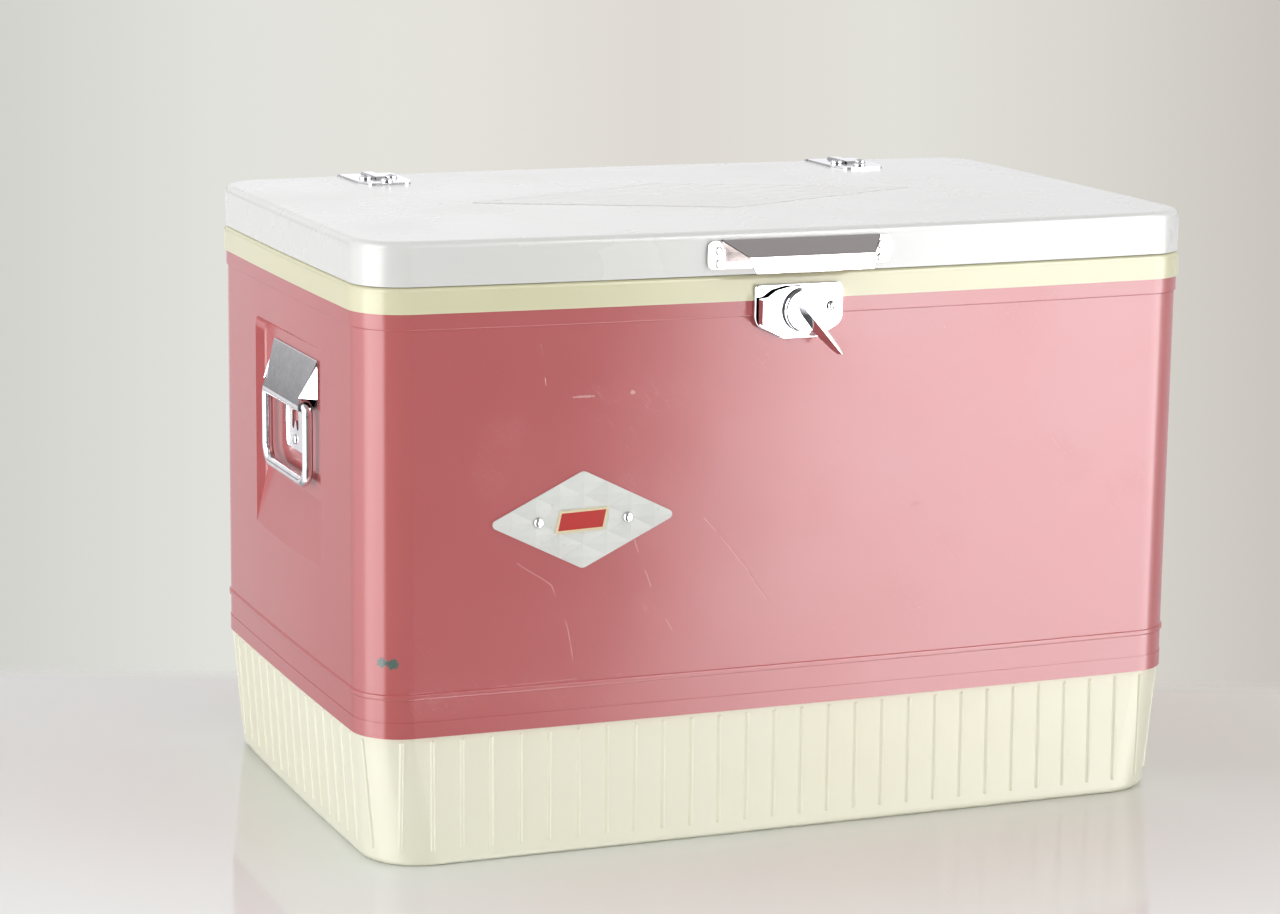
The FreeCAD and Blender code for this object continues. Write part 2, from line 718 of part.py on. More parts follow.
def bail():
    """The +X bail: a round wire bent to a closed frame, its top bar in the bracket's barrel."""
    top = BARREL_UP
    low = BARREL_UP - BAIL_DROP
    x = BARREL_OUT
    half = BAIL_HALF_WIDTH
    parts = [
        rod(Vector(x, -half + BAIL_TOP_BEND, top), Y, BAIL_RADIUS, 2 * (half - BAIL_TOP_BEND)),
        rod(Vector(x, -half + BAIL_BOTTOM_BEND, low), Y, BAIL_RADIUS, 2 * (half - BAIL_BOTTOM_BEND)),
    ]
    for sign in (1, -1):
        leg = Vector(x, sign * half, low + BAIL_BOTTOM_BEND)
        parts.append(rod(leg, Z, BAIL_RADIUS, BAIL_DROP - BAIL_BOTTOM_BEND - BAIL_TOP_BEND))
        upper = Vector(x, sign * (half - BAIL_TOP_BEND), top - BAIL_TOP_BEND)
        lower = Vector(x, sign * (half - BAIL_BOTTOM_BEND), low + BAIL_BOTTOM_BEND)
        parts.append(bend(upper, sign, 1, BAIL_TOP_BEND))
        parts.append(bend(lower, sign, -1, BAIL_BOTTOM_BEND))
    return joined(parts)


def bend(centre, sign_y, sign_z, radius):
    """A quarter turn of the bail's wire in the YZ plane."""
    start = centre + Vector(0, 0, sign_z * radius)
    circle = Part.Wire(Part.makeCircle(BAIL_RADIUS, start, Y))
    angle = -90 * sign_y * sign_z
    return Part.Face(circle).revolve(centre, X, angle)


# ---------------------------------------------------------------- latch

LATCH_SCREWS = [HARDWARE_X - 21.0, HARDWARE_X + 21.0]
LATCH_SCREW_UP = LATCH_UP + 1.0


def at_latch(points):
    """Points given about the latch's pivot, moved to its place on the front."""
    return [(HARDWARE_X + x, LATCH_UP + z) for x, z in points]


def latch_plate():
    """A stamped dish: a flat front with a returned edge that stands on rim and belt."""
    outline = at_latch([(-31, 16), (28.6, 16), (28.6, -9.3), (12, -18.3), (-12, -18.3), (-31, -9.3)])
    radii = [2.5, 4.5, 9, 10, 10, 9]
    back = -front_face(RIM_BOTTOM, RIM_PROUD) + RUNNING * 3
    low_back = -front_face(LATCH_UP, TOP_BAND_PROUD) + 0.25
    plate = prism(outline, radii, "xz", -LATCH_FACE, -back)
    low = prism(outline, radii, "xz", -LATCH_FACE, -low_back)
    low = low.common(box(HARDWARE_X - 40, HARDWARE_X + 40, -190, -170, LATCH_UP - 30, RIM_BOTTOM - 0.4))
    plate = joined([plate, low])
    plate = fillet(plate, 0.9, is_latch_front)
    hollow = at_latch([(-29.4, 14.4), (27, 14.4), (27, -8.4), (11.4, -16.7), (-11.4, -16.7), (-29.4, -8.4)])
    plate = plate.cut(prism(hollow, [1, 3, 7.5, 8.5, 8.5, 7.5], "xz", -LATCH_FACE + LATCH_SHEET, -170))
    for x in LATCH_SCREWS:
        plate = plate.cut(rod(Vector(x, -190, LATCH_SCREW_UP), Y, 1.9, 20))
    return plate.cut(rod(Vector(HARDWARE_X, -190, LATCH_UP), Y, PIVOT_RADIUS + RUNNING, 20))


def is_latch_front(edge):
    """The edges round the flat front of the latch plate."""
    return abs(edge.BoundBox.YMin + LATCH_FACE) < 0.01 and edge.BoundBox.YLength < 0.01


def backing_face():
    """Y of the front of the strip behind the belt."""
    return front_face(LATCH_UP, -STEEL) + BACKING_GAP


def latch_backing_plate():
    """A steel strip behind the belt that takes the latch's screws and pivot."""
    face = backing_face()
    plate = prism(at_latch([(-28, 7), (28, 7), (28, -7), (-28, -7)]), 3, "xz", face, face + BACKING_SHEET)
    for x in LATCH_SCREWS:
        plate = plate.cut(rod(Vector(x, face - 1, LATCH_SCREW_UP), Y, 1.75, 4))
    return plate.cut(rod(Vector(HARDWARE_X, face - 1, LATCH_UP), Y, PIVOT_RADIUS + RUNNING, 4))


def latch_screws():
    seat = -LATCH_FACE - RUNNING
    seats = [Vector(x, seat, LATCH_SCREW_UP) for x in LATCH_SCREWS]
    return Part.makeCompound([cross_head_screw(spot, Y * -1, 3.6, 2.2, 1.7, 14) for spot in seats])


def latch_pivot():
    """The stud that the cam and lever turn on, headed behind the backing plate."""
    head_height = 1.8
    seat = backing_face() + BACKING_SHEET + RUNNING
    length = seat + HUB_BACK + HUB_THICKNESS + head_height
    profile = [
        (0, 0), (5.5, 0), (5.5, head_height),
        (PIVOT_RADIUS, head_height), (PIVOT_RADIUS, length), (0, length),
    ]
    return turned(profile, [0, 0, 0, 0, 0.4, 0], Vector(HARDWARE_X, seat + head_height, LATCH_UP), Y * -1)


def latch_washer():
    front = -CAM_BACK + RUNNING
    ring = rod(Vector(HARDWARE_X, front, LATCH_UP), Y, 6.5, CAM_BACK - LATCH_FACE - 2 * RUNNING)
    return ring.cut(rod(Vector(HARDWARE_X, front - 1, LATCH_UP), Y, PIVOT_RADIUS + RUNNING, 10))


def latch_cam():
    """The plate behind the hub: its flat end is folded outward and hooks over the lid pull's tab."""
    end = -CAM_REACH - CAM_SHEET + 0.1
    arm = at_latch([
        (end, 7.8), (-24.5, 8.4), (-18.5, 12.6), (-6, 15.4), (10, 8),
        (10, -8), (-6, -15.4), (-18.5, -13.4), (-25, -9.6), (end, -8.6),
    ])
    plate = prism(arm, [0, 3, 8, 10, 3, 3, 10, 6, 3, 0], "xz", -CAM_BACK - CAM_SHEET, -CAM_BACK)
    disc = rod(Vector(HARDWARE_X, -CAM_BACK - CAM_SHEET, LATCH_UP), Y, 15.2, CAM_SHEET)
    tip = -CAM_BACK - CAM_FLANGE
    flange = box(
        HARDWARE_X - CAM_REACH - CAM_SHEET, HARDWARE_X - CAM_REACH, tip, -CAM_BACK,
        LATCH_UP - CAM_HALF_HEIGHT, LATCH_UP + CAM_HALF_HEIGHT,
    )
    flange = fillet(flange, 2.0, lambda edge: edge.BoundBox.XLength > 1 and edge.BoundBox.YMax < tip + 1)
    cam = joined([plate, disc, flange])
    return cam.cut(rod(Vector(HARDWARE_X, -CAM_BACK - 5, LATCH_UP), Y, PIVOT_RADIUS + RUNNING, 10))


def latch_lever():
    """A die-cast hub with a tall thin fin that tapers out to the finger tip."""
    hub = turned(
        [(0, 0), (HUB_RADIUS, 0), (HUB_RADIUS, HUB_THICKNESS), (0, HUB_THICKNESS)],
        [0, 0.3, 1.6, 0], Vector(HARDWARE_X, -HUB_BACK, LATCH_UP), Y * -1,
    )
    fin = lever_fin()
    fin.Placement = FreeCAD.Placement(
        Vector(HARDWARE_X, -HUB_BACK, LATCH_UP), FreeCAD.Rotation(Y, -LEVER_ANGLE),
    )
    lever = joined([hub, fin])
    return lever.cut(rod(Vector(HARDWARE_X, -HUB_BACK - 5, LATCH_UP), Y, PIVOT_RADIUS + RUNNING, 8))


def lever_fin():
    """The fin along +X, lofted through sections: place, half width at the foot, crest's height, foot's height."""
    stations = [
        (-8.5, 1.2, 3.4, 1.0),
        (-5.0, 3.4, 8.5, 1.0),
        (0.0, 4.7, 12.4, 1.0),
        (10.0, 4.2, 14.6, 1.4),
        (21.0, 3.2, 15.8, 5.0),
        (29.0, 2.4, 16.4, 9.0),
        (LEVER_LENGTH, 1.6, 16.2, 12.0),
    ]
    wires = []
    for x, half, crest, foot in stations:
        top = half * 0.34
        points = [
            Vector(x, -foot, -half), Vector(x, -foot, half), Vector(x, -crest + top, top),
            Vector(x, -crest, 0), Vector(x, -crest + top, -top),
        ]
        wires.append(Part.makePolygon(points + points[:1]))
    return Part.makeLoft(wires, True, True)


# ---------------------------------------------------------------- lid

def lid_face_y(x=0.0):
    return front_face(RIM_BOTTOM, LID_PROUD, x)


def lid_shell():
    outside = upper_band(LID_BOTTOM, LID_TOP, LID_PROUD)
    outside = fillet(outside, LID_ROUND, lambda edge: lies_at_height(edge, LID_TOP))
    inside = upper_band(LID_BOTTOM - 1, LID_TOP - STEEL, LID_PROUD - STEEL)
    inside = fillet(inside, LID_ROUND - STEEL, lambda edge: lies_at_height(edge, LID_TOP - STEEL))
    hem = upper_band(LID_BOTTOM, LID_BOTTOM + LID_HEM, LID_PROUD - STEEL / 2)
    hem = hem.cut(upper_band(LID_BOTTOM - 1, LID_BOTTOM + LID_HEM + 1, LID_PROUD - 2 * STEEL))
    shell = joined([outside.fuse(lid_emboss()).cut(inside), hem])
    for hole in lid_holes(1.65, 1.9):
        shell = shell.cut(hole)
    return shell


def lid_emboss():
    """The big diamond of low pyramids pressed up in the middle of the lid's top."""
    peak = EMBOSS_FOOT + EMBOSS_PEAK
    block = faceted_block(
        EMBOSS_GRID, EMBOSS_HALF_LENGTH, EMBOSS_HALF_DEPTH, -EMBOSS_SUNK, EMBOSS_FOOT, peak,
    )
    block.Placement = FreeCAD.Placement(Vector(0, 0, LID_TOP), FreeCAD.Rotation(X, -90))
    return block


def lid_holes(rivet_radius, screw_radius):
    holes = [rod(Vector(x, -190, z), Y, rivet_radius, 24) for x, z in PULL_RIVETS]
    return holes + [rod(Vector(x, y, 374), Z, screw_radius, 20) for x, y in upper_screw_spots()]


def plug(grow, z_low, z_high):
    top = Outline(PLUG_HALF_WIDTH, PLUG_HALF_DEPTH, PLUG_CORNER).grown(grow)
    bottom = Outline(PLUG_HALF_WIDTH - PLUG_DRAFT, PLUG_HALF_DEPTH - PLUG_DRAFT, PLUG_CORNER).grown(grow)
    return between_outlines(bottom, z_low, top, z_high)


def lid_liner():
    """The underside panel with a hollow plug that dips into the tub."""
    flange = upper_band(LID_PLATE_BOTTOM, LID_PLATE_BOTTOM + LID_PLATE, LID_PROUD - 2 * STEEL - FIT_GAP)
    dip = plug(0, PLUG_BOTTOM, LID_PLATE_BOTTOM + 1)
    dip = fillet(dip, 6, lambda edge: lies_at_height(edge, PLUG_BOTTOM))
    panel = joined([flange, dip])
    return panel.cut(plug(-PLASTIC, PLUG_BOTTOM + PLASTIC, LID_PLATE_BOTTOM + LID_PLATE + 1))


def lid_insulation():
    ceiling = LID_TOP - STEEL - FIT_GAP
    top = upper_band(LID_PLATE_BOTTOM + LID_PLATE + FIT_GAP, ceiling, LID_PROUD - 2 * STEEL - 4)
    top = fillet(top, 3, lambda edge: lies_at_height(edge, ceiling))
    dip = plug(-PLASTIC - FIT_GAP, PLUG_BOTTOM + PLASTIC + FIT_GAP, LID_PLATE_BOTTOM + LID_PLATE + 1)
    foam = joined([top, dip])
    for hole in lid_holes(3.4, 2.2):
        foam = foam.cut(hole)
    return foam


def lid_gasket():
    ring = upper_band(RIM_TOP + RUNNING, LID_PLATE_BOTTOM - RUNNING, -7)
    ring = ring.cut(upper_band(RIM_TOP - 1, LID_PLATE_BOTTOM + 1, -19))
    return fillet(ring, 0.5, lambda edge: lies_at_height(edge, RIM_TOP + RUNNING))


# ---------------------------------------------------------------- lid pull

# across and up, of the rivets that hold the pull
PULL_RIVETS = [(HARDWARE_X + sx * 54.8, z) for sx in (1, -1) for z in (368.3, 376.2)]


def lid_pull():
    """A strip folded to a hood: the fingers go behind its lip, and its tab takes the latch's cam."""
    face = lid_face_y()
    back = face - RUNNING * 3
    half = PULL_SHEET / 2
    left = HARDWARE_X - PULL_HALF_WIDTH
    right = HARDWARE_X + PULL_HALF_WIDTH
    plate = prism(
        [(left, PULL_BOTTOM), (right, PULL_BOTTOM), (right, PULL_PLATE_TOP), (left, PULL_PLATE_TOP)],
        4, "xz", back - PULL_SHEET, back,
    )
    line = [
        (back - half, PULL_TOP - 6), (back - half, PULL_TOP - half),
        (face - PULL_RIDGE_OUT, PULL_RIDGE_UP), (face - PULL_LIP_OUT, PULL_LIP_UP),
    ]
    points, radii = bent_strip(line, PULL_SHEET, [1.6, 1.6])
    hood = prism(points, radii, "yz", left, right).common(hood_taper())
    tab_top = LATCH_UP + CAM_REACH - 0.8
    tab = box(
        HARDWARE_X - 5, HARDWARE_X + 5, face - PULL_LIP_OUT + half, -PULL_TAB_INNER,
        tab_top - PULL_SHEET, tab_top,
    )
    pull = joined([plate, hood, tab])
    for x, z in PULL_RIVETS:
        pull = pull.cut(rod(Vector(x, -190, z), Y, 1.65, 20))
    return pull


def hood_taper():
    """The outline of the hood seen from the front: widest along its top fold."""
    right = [(53, PULL_TOP + 2), (53, PULL_TOP - 2), (42.3, PULL_RIDGE_UP), (38.8, PULL_LIP_UP - 2)]
    left = [(-x, z) for x, z in right[::-1]]
    points = [(HARDWARE_X + x, z) for x, z in right + left]
    return prism(points, [0, 2, 2, 0, 0, 2, 2, 0], "xz", -220, -170)


def lid_pull_rivets():
    seat = lid_face_y() - RUNNING * 3 - PULL_SHEET - RUNNING
    grip = PULL_SHEET + STEEL + 1.4
    seats = [Vector(x, seat, z) for x, z in PULL_RIVETS]
    return Part.makeCompound([rivet(spot, Y * -1, 2.7, 1.1, 1.6, grip, 2.1, 1.0) for spot in seats])


# ---------------------------------------------------------------- hinges

KNUCKLE_LIMITS = [-19.0, -7.2, 7.2, 19.0]
KNUCKLE_GAP = 0.25
KNUCKLE_OUTER = PIN_RADIUS + RUNNING + HINGE_SHEET


# a leaf's screws: across from the hinge's middle, then back (upper leaf) or up (lower leaf)
UPPER_LEAF_SCREWS = [(-9.0, 138.0), (9.0, 138.0), (0.0, 119.0)]
LOWER_LEAF_SCREWS = [(-12.0, 351.5), (12.0, 351.5), (0.0, 336.0)]


def upper_screw_spots():
    return [(sx * HINGE_X + dx, y) for sx in (1, -1) for dx, y in UPPER_LEAF_SCREWS]


def lower_screw_spots():
    return [(sx * HINGE_X + dx, z) for sx in (1, -1) for dx, z in LOWER_LEAF_SCREWS]


def knuckle(x_from, x_to):
    return rod(Vector(x_from, PIN_Y, PIN_Z), X, KNUCKLE_OUTER, x_to - x_from)


def pin_hole():
    return rod(Vector(HINGE_X - 30, PIN_Y, PIN_Z), X, PIN_RADIUS + RUNNING, 60)


def hinge_upper_leaf():
    """The +X upper leaf: flat on the lid's top, folded down its back to the middle knuckle."""
    half = HINGE_SHEET / 2
    back = -lid_face_y(HINGE_X - HINGE_HALF_WIDTH) + RUNNING * 3 + half
    top = LID_TOP + RUNNING + half
    low = PIN_Z + KNUCKLE_OUTER - half
    line = [(LEAF_FRONT + 6, top), (back, top), (back, low), (PIN_Y, low)]
    points, radii = bent_strip(line, HINGE_SHEET, [5.2, 1.0])
    strip = prism(points, radii, "yz", HINGE_X - 7, HINGE_X + 7)
    crown = prism(
        [
            (HINGE_X - 14, LEAF_FRONT), (HINGE_X + 14, LEAF_FRONT), (HINGE_X + 19, LEAF_FRONT + 16),
            (HINGE_X + 19, back - 6.5), (HINGE_X - 19, back - 6.5), (HINGE_X - 19, LEAF_FRONT + 16),
        ],
        [5, 5, 6, 3, 3, 6], "xy", LID_TOP + RUNNING, LID_TOP + RUNNING + HINGE_SHEET,
    )
    spine = prism(
        [(LEAF_FRONT + 20, top), (LEAF_FRONT + 24, top + 2.4), (back - 10, top + 2.4), (back - 6, top)],
        [0, 2, 2, 0], "yz", HINGE_X - 3.5, HINGE_X + 3.5,
    )
    points, radii = bent_strip([(back - 7, top), (back, top), (back, 371)], HINGE_SHEET, [5.2])
    wide = prism(points, radii, "yz", HINGE_X - HINGE_HALF_WIDTH, HINGE_X + HINGE_HALF_WIDTH)
    middle = knuckle(HINGE_X + KNUCKLE_LIMITS[1] + KNUCKLE_GAP, HINGE_X + KNUCKLE_LIMITS[2] - KNUCKLE_GAP)
    leaf = joined([strip, crown, spine, wide, middle]).cut(pin_hole())
    for x, y in upper_screw_spots():
        leaf = leaf.cut(rod(Vector(x, y, LID_TOP - 1), Z, 1.9, 8))
    return leaf


def hinge_lower_leaf():
    """The +X lower leaf: a plate on the back of rim and belt, with the two outer knuckles."""
    half = HINGE_SHEET / 2
    back = -front_face(RIM_BOTTOM, RIM_PROUD, HINGE_X - HINGE_HALF_WIDTH) + RUNNING * 2
    plate = prism(
        [
            (HINGE_X - 19, 357), (HINGE_X + 19, 357), (HINGE_X + 19, 342), (HINGE_X + 8, 327.5),
            (HINGE_X - 8, 327.5), (HINGE_X - 19, 342),
        ],
        [0, 0, 5, 5, 5, 5], "xz", back, back + HINGE_SHEET,
    )
    low = PIN_Z - KNUCKLE_OUTER + half
    points, radii = bent_strip([(back + half, 350), (back + half, low), (PIN_Y, low)], HINGE_SHEET, [1.0])
    pieces = [plate]
    for start, end in ((KNUCKLE_LIMITS[0], KNUCKLE_LIMITS[1]), (KNUCKLE_LIMITS[2], KNUCKLE_LIMITS[3])):
        pieces.append(prism(points, radii, "yz", HINGE_X + start, HINGE_X + end))
        pieces.append(knuckle(HINGE_X + start, HINGE_X + end))
    leaf = joined(pieces).cut(pin_hole())
    for x, z in lower_screw_spots():
        leaf = leaf.cut(rod(Vector(x, 160, z), Y, 1.9, 30))
    return leaf


def hinge_pins():
    length = 2 * HINGE_HALF_WIDTH + 1.0
    pin = turned(
        [(0, 0), (PIN_RADIUS, 0), (PIN_RADIUS, length), (0, length)], [0, 0.5, 0.5, 0],
        Vector(HINGE_X - length / 2, PIN_Y, PIN_Z), X,
    )
    return Part.makeCompound(both_ends(pin))


def hinge_upper_screws():
    seat = LID_TOP + RUNNING + HINGE_SHEET + RUNNING
    return Part.makeCompound(
        [cross_head_screw(Vector(x, y, seat), Z, 4.2, 2.0, 1.7, 11) for x, y in upper_screw_spots()]
    )


def hinge_lower_screws():
    seat = -front_face(RIM_BOTTOM, RIM_PROUD, HINGE_X - HINGE_HALF_WIDTH) + RUNNING * 3 + HINGE_SHEET
    return Part.makeCompound(
        [cross_head_screw(Vector(x, seat, z), Y, 3.4, 1.8, 1.7, 13) for x, z in lower_screw_spots()]
    )


# ---------------------------------------------------------------- badge

BADGE_RIVETS = [-BADGE_RIVET_SPACING, BADGE_RIVET_SPACING]


def on_badge(shape):
    """Move a shape built about the origin, facing -Y, onto the front at the badge's place."""
    surface = front_face(BADGE_Z, 0, BADGE_X)
    across = front_face(BADGE_Z, 0, BADGE_X + 10) - front_face(BADGE_Z, 0, BADGE_X - 10)
    upward = front_face(BADGE_Z + 10, 0, BADGE_X) - front_face(BADGE_Z - 10, 0, BADGE_X)
    yaw = FreeCAD.Rotation(Z, math.degrees(math.atan2(across, 20)))
    lean = FreeCAD.Rotation(X, -math.degrees(math.atan2(upward, 20)))
    shape.Placement = FreeCAD.Placement(Vector(BADGE_X, surface, BADGE_Z), yaw.multiply(lean))
    return shape


def badge_plate():
    """A diamond plate whose face is a grid of low pyramids, with a flat place for the label."""
    outline = prism(
        [(-BADGE_HALF_WIDTH, 0), (0, -BADGE_HALF_HEIGHT), (BADGE_HALF_WIDTH, 0), (0, BADGE_HALF_HEIGHT)],
        [3, 5, 3, 5], "xz", -5, 0,
    )
    block = faceted_block(
        BADGE_GRID, BADGE_HALF_WIDTH, BADGE_HALF_HEIGHT, BADGE_BACK, BADGE_FOOT, BADGE_FOOT + BADGE_PEAK,
    )
    plate = block.common(outline)
    flat = prism([(-20.2, -9.2), (14.8, -7.8), (17.8, 9.2), (-17.2, 7.8)], 2, "xz", -4, -BADGE_LABEL_SEAT)
    plate = plate.cut(flat)
    for dx in BADGE_RIVETS:
        plate = plate.cut(rod(Vector(dx, -6, 0), Y, 1.6, 12))
        plate = plate.cut(rod(Vector(dx, -6, 0), Y, 4.2, 6 - BADGE_RIVET_SEAT))
    return on_badge(plate)


def faceted_block(grid, half_width, half_height, back, foot, peak):
    """A diamond facing -Y, flat behind at BACK, with GRID pyramids a side that rise from FOOT to PEAK."""
    faces = []
    for i in range(grid):
        for j in range(grid):
            across = (i - j) / grid * half_width
            upward = (i + j + 1 - grid) / grid * half_height
            base = diamond(across, upward, half_width / grid, half_height / grid, -foot)
            tip = Vector(across, -peak, upward)
            for k in range(4):
                faces.append(Part.Face(Part.makePolygon([base[k], base[(k + 1) % 4], tip, base[k]])))
    front = diamond(0, 0, half_width, half_height, -foot)
    rear = diamond(0, 0, half_width, half_height, -back)
    faces.append(Part.Face(Part.makePolygon(rear + rear[:1])))
    for k in range(4):
        following = (k + 1) % 4
        faces += [
            Part.Face(Part.makePolygon([*strip, strip[0]]))
            for strip in edge_strips(grid, front[k], front[following], rear[k], rear[following])
        ]
    shell = Part.makeShell(faces)
    shell.sewShape()
    block = Part.makeSolid(shell)
    if block.Volume < 0:
        block.reverse()
    return block


def edge_strips(grid, front_start, front_end, back_start, back_end):
    """One side of the block, in as many strips as there are pyramids along it, so that the edges meet."""
    strips = []
    for n in range(grid):
        low = n / grid
        high = (n + 1) / grid
        strips.append([
            front_start + (front_end - front_start) * low, front_start + (front_end - front_start) * high,
            back_start + (back_end - back_start) * high, back_start + (back_end - back_start) * low,
        ])
    return strips


def diamond(across, upward, half_width, half_height, y):
    return [
        Vector(across - half_width, y, upward), Vector(across, y, upward - half_height),
        Vector(across + half_width, y, upward), Vector(across, y, upward + half_height),
    ]


def badge_label():
    """A thin leaning plaque in the middle of the badge, with a raised border."""
    back = -BADGE_LABEL_SEAT - RUNNING
    plaque = prism([(-18.7, -7.6), (13.3, -6.4), (16.3, 7.6), (-15.7, 6.4)], 1.2, "xz", back - 0.85, back)
    field = prism([(-16.9, -6.1), (12.2, -5.0), (14.5, 6.1), (-14.6, 5.0)], 0.8, "xz", -3.2, -2.3)
    return on_badge(plaque.cut(field))


def badge_rivets():
    seat = BADGE_RIVET_SEAT + RUNNING
    rivets = []
    for dx in BADGE_RIVETS:
        rivets.append(rivet(Vector(dx, -seat, 0), Y * -1, 3.4, 2.2, 1.45, seat + STEEL + 0.3, 2.4, 1.2))
    return on_badge(Part.makeCompound(rivets))


# ---------------------------------------------------------------- drain

def drain_spout():
    """A flanged tube from the tub's floor corner to the outside, with a stub for the cap."""
    inner_end = DRAIN_FACE - 6
    flange_front = DRAIN_PAD + RUNNING + SPOUT_FLANGE
    tube = rod(Vector(inner_end, 0, DRAIN_Z), X, DRAIN_TUBE, DRAIN_PAD + 9 - inner_end)
    flange = rod(Vector(DRAIN_PAD + RUNNING, 0, DRAIN_Z), X, CAP_RADIUS + 1, SPOUT_FLANGE)
    flange = fillet(flange, 0.6, lambda edge: edge.BoundBox.XMin > flange_front - 0.1)
    spout = joined([tube, flange])
    return spout.cut(rod(Vector(inner_end - 1, 0, DRAIN_Z), X, DRAIN_BORE, 80))


def drain_nut():
    """A six-sided nut with a collar, inside the tub."""
    face = DRAIN_FACE - DRAIN_SEAL - RUNNING
    corners = []
    for angle in range(0, 360, 60):
        turn = math.radians(angle)
        corners.append((DRAIN_SEAL_RADIUS * math.cos(turn), DRAIN_Z + DRAIN_SEAL_RADIUS * math.sin(turn)))
    body = prism(corners, 0.8, "yz", face - 4.2, face - 1.0)
    collar = rod(Vector(face - 1.2, 0, DRAIN_Z), X, DRAIN_SEAL_RADIUS, 1.2)
    return joined([body, collar]).cut(rod(Vector(face - 10, 0, DRAIN_Z), X, DRAIN_TUBE + RUNNING, 20))


def seal_ring(start, radius, thickness):
    """A flat rubber ring round the drain's tube."""
    ring = rod(Vector(start, 0, DRAIN_Z), X, radius, thickness)
    return ring.cut(rod(Vector(start - 1, 0, DRAIN_Z), X, DRAIN_TUBE + RUNNING, thickness + 2))


def drain_gasket():
    return seal_ring(DRAIN_FACE - DRAIN_SEAL, DRAIN_SEAL_RADIUS, DRAIN_SEAL)


def drain_cap_gasket():
    return seal_ring(CAP_SEAT, CAP_RADIUS - 0.7, CAP_SEAL)


def drain_cap():
    """A cup with a ribbed edge that closes the stub."""
    start = CAP_SEAT + CAP_SEAL + RUNNING
    cup = turned(
        [(0, 0), (CAP_RADIUS, 0), (CAP_RADIUS, CAP_LENGTH), (0, CAP_LENGTH)], [0, 0.4, 1.5, 0],
        Vector(start, 0, DRAIN_Z), X,
    )
    grips = []
    for k in range(CAP_GRIPS):
        angle = 2 * math.pi * k / CAP_GRIPS
        spot = Vector(start + 0.8, CAP_RADIUS * math.cos(angle), DRAIN_Z + CAP_RADIUS * math.sin(angle))
        grips.append(rod(spot, X, 0.8, 7))
    cup = joined([cup] + grips)
    return cup.cut(rod(Vector(start - 1, 0, DRAIN_Z), X, DRAIN_TUBE + RUNNING, CAP_LENGTH - 1))


# ---------------------------------------------------------------- the nodes

def all_nodes():
    """Every node's name and shape. Left-hand copies of the end and hinge parts are mirror images."""
    bracket = at_handle(handle_bracket())
    rivets = at_handle(handle_rivets())
    backing = at_handle(handle_backing_plate())
    handle = at_handle(bail())
    upper = hinge_upper_leaf()
    lower = hinge_lower_leaf()
    return {
        "base_pan": base_pan(),
        "steel_belt": steel_belt(),
        "inner_liner": inner_liner(),
        "body_insulation": body_insulation(),
        "handle_bracket_right": bracket,
        "handle_bracket_left": mirrored(bracket),
        "handle_rivets_right": rivets,
        "handle_rivets_left": mirrored(rivets),
        "handle_backing_plate_right": backing,
        "handle_backing_plate_left": mirrored(backing),
        "bail_right": handle,
        "bail_left": mirrored(handle),
        "latch_plate": latch_plate(),
        "latch_backing_plate": latch_backing_plate(),
        "latch_screws": latch_screws(),
        "latch_pivot": latch_pivot(),
        "latch_washer": latch_washer(),
        "latch_cam": latch_cam(),
        "latch_lever": latch_lever(),
        "lid_shell": lid_shell(),
        "lid_liner": lid_liner(),
        "lid_insulation": lid_insulation(),
        "lid_gasket": lid_gasket(),
        "lid_pull": lid_pull(),
        "lid_pull_rivets": lid_pull_rivets(),
        "hinge_upper_leaf_right": upper,
        "hinge_upper_leaf_left": mirrored(upper),
        "hinge_upper_screws": hinge_upper_screws(),
        "hinge_lower_leaf_right": lower,
        "hinge_lower_leaf_left": mirrored(lower),
        "hinge_lower_screws": hinge_lower_screws(),
        "hinge_pins": hinge_pins(),
        "badge_plate": badge_plate(),
        "badge_label": badge_label(),
        "badge_rivets": badge_rivets(),
        "drain_spout": drain_spout(),
        "drain_nut": drain_nut(),
        "drain_gasket": drain_gasket(),
        "drain_cap_gasket": drain_cap_gasket(),
        "drain_cap": drain_cap(),
    }


def write_nodes():
    os.makedirs("parts", exist_ok=True)
    for name, shape in all_nodes().items():
        shape.exportStep("parts/%s.step" % name)


write_nodes()
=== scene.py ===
import json
import math

import bpy
from mathutils import Matrix, Vector

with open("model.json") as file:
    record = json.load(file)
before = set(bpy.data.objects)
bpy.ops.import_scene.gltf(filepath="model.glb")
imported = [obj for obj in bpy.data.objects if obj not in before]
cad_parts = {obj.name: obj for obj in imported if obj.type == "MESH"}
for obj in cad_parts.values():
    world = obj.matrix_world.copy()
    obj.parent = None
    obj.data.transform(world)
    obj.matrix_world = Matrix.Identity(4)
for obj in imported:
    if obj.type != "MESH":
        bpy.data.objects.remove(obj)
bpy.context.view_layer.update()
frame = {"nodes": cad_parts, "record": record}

# Looks of a steel-belted picnic chest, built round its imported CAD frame. Blender's lengths are metres.
# Places and sizes on the chest are written in millimetres, as in the CAD, and scaled by MM.
MM = 0.001

# ---------------------------------------------------------------- camera and surroundings

CAMERA_PLACE = (-906.3, -2155.2, 669.7)  # millimetres; the floor and the lamps are in metres
CAMERA_AZIMUTH = math.radians(-21.96)
CAMERA_ELEVATION = math.radians(11.107)
CAMERA_ROLL = math.radians(0.7226)
CAMERA_LENS = 99.72
FLOOR_EDGE = 0.19  # how far behind the chest's middle the table top ends, seen from the camera
FLOOR_NEAR = -0.46  # and how far in front of it the painted near light begins
FLOOR_SIZE = 6.0


# ---------------------------------------------------------------- material helper

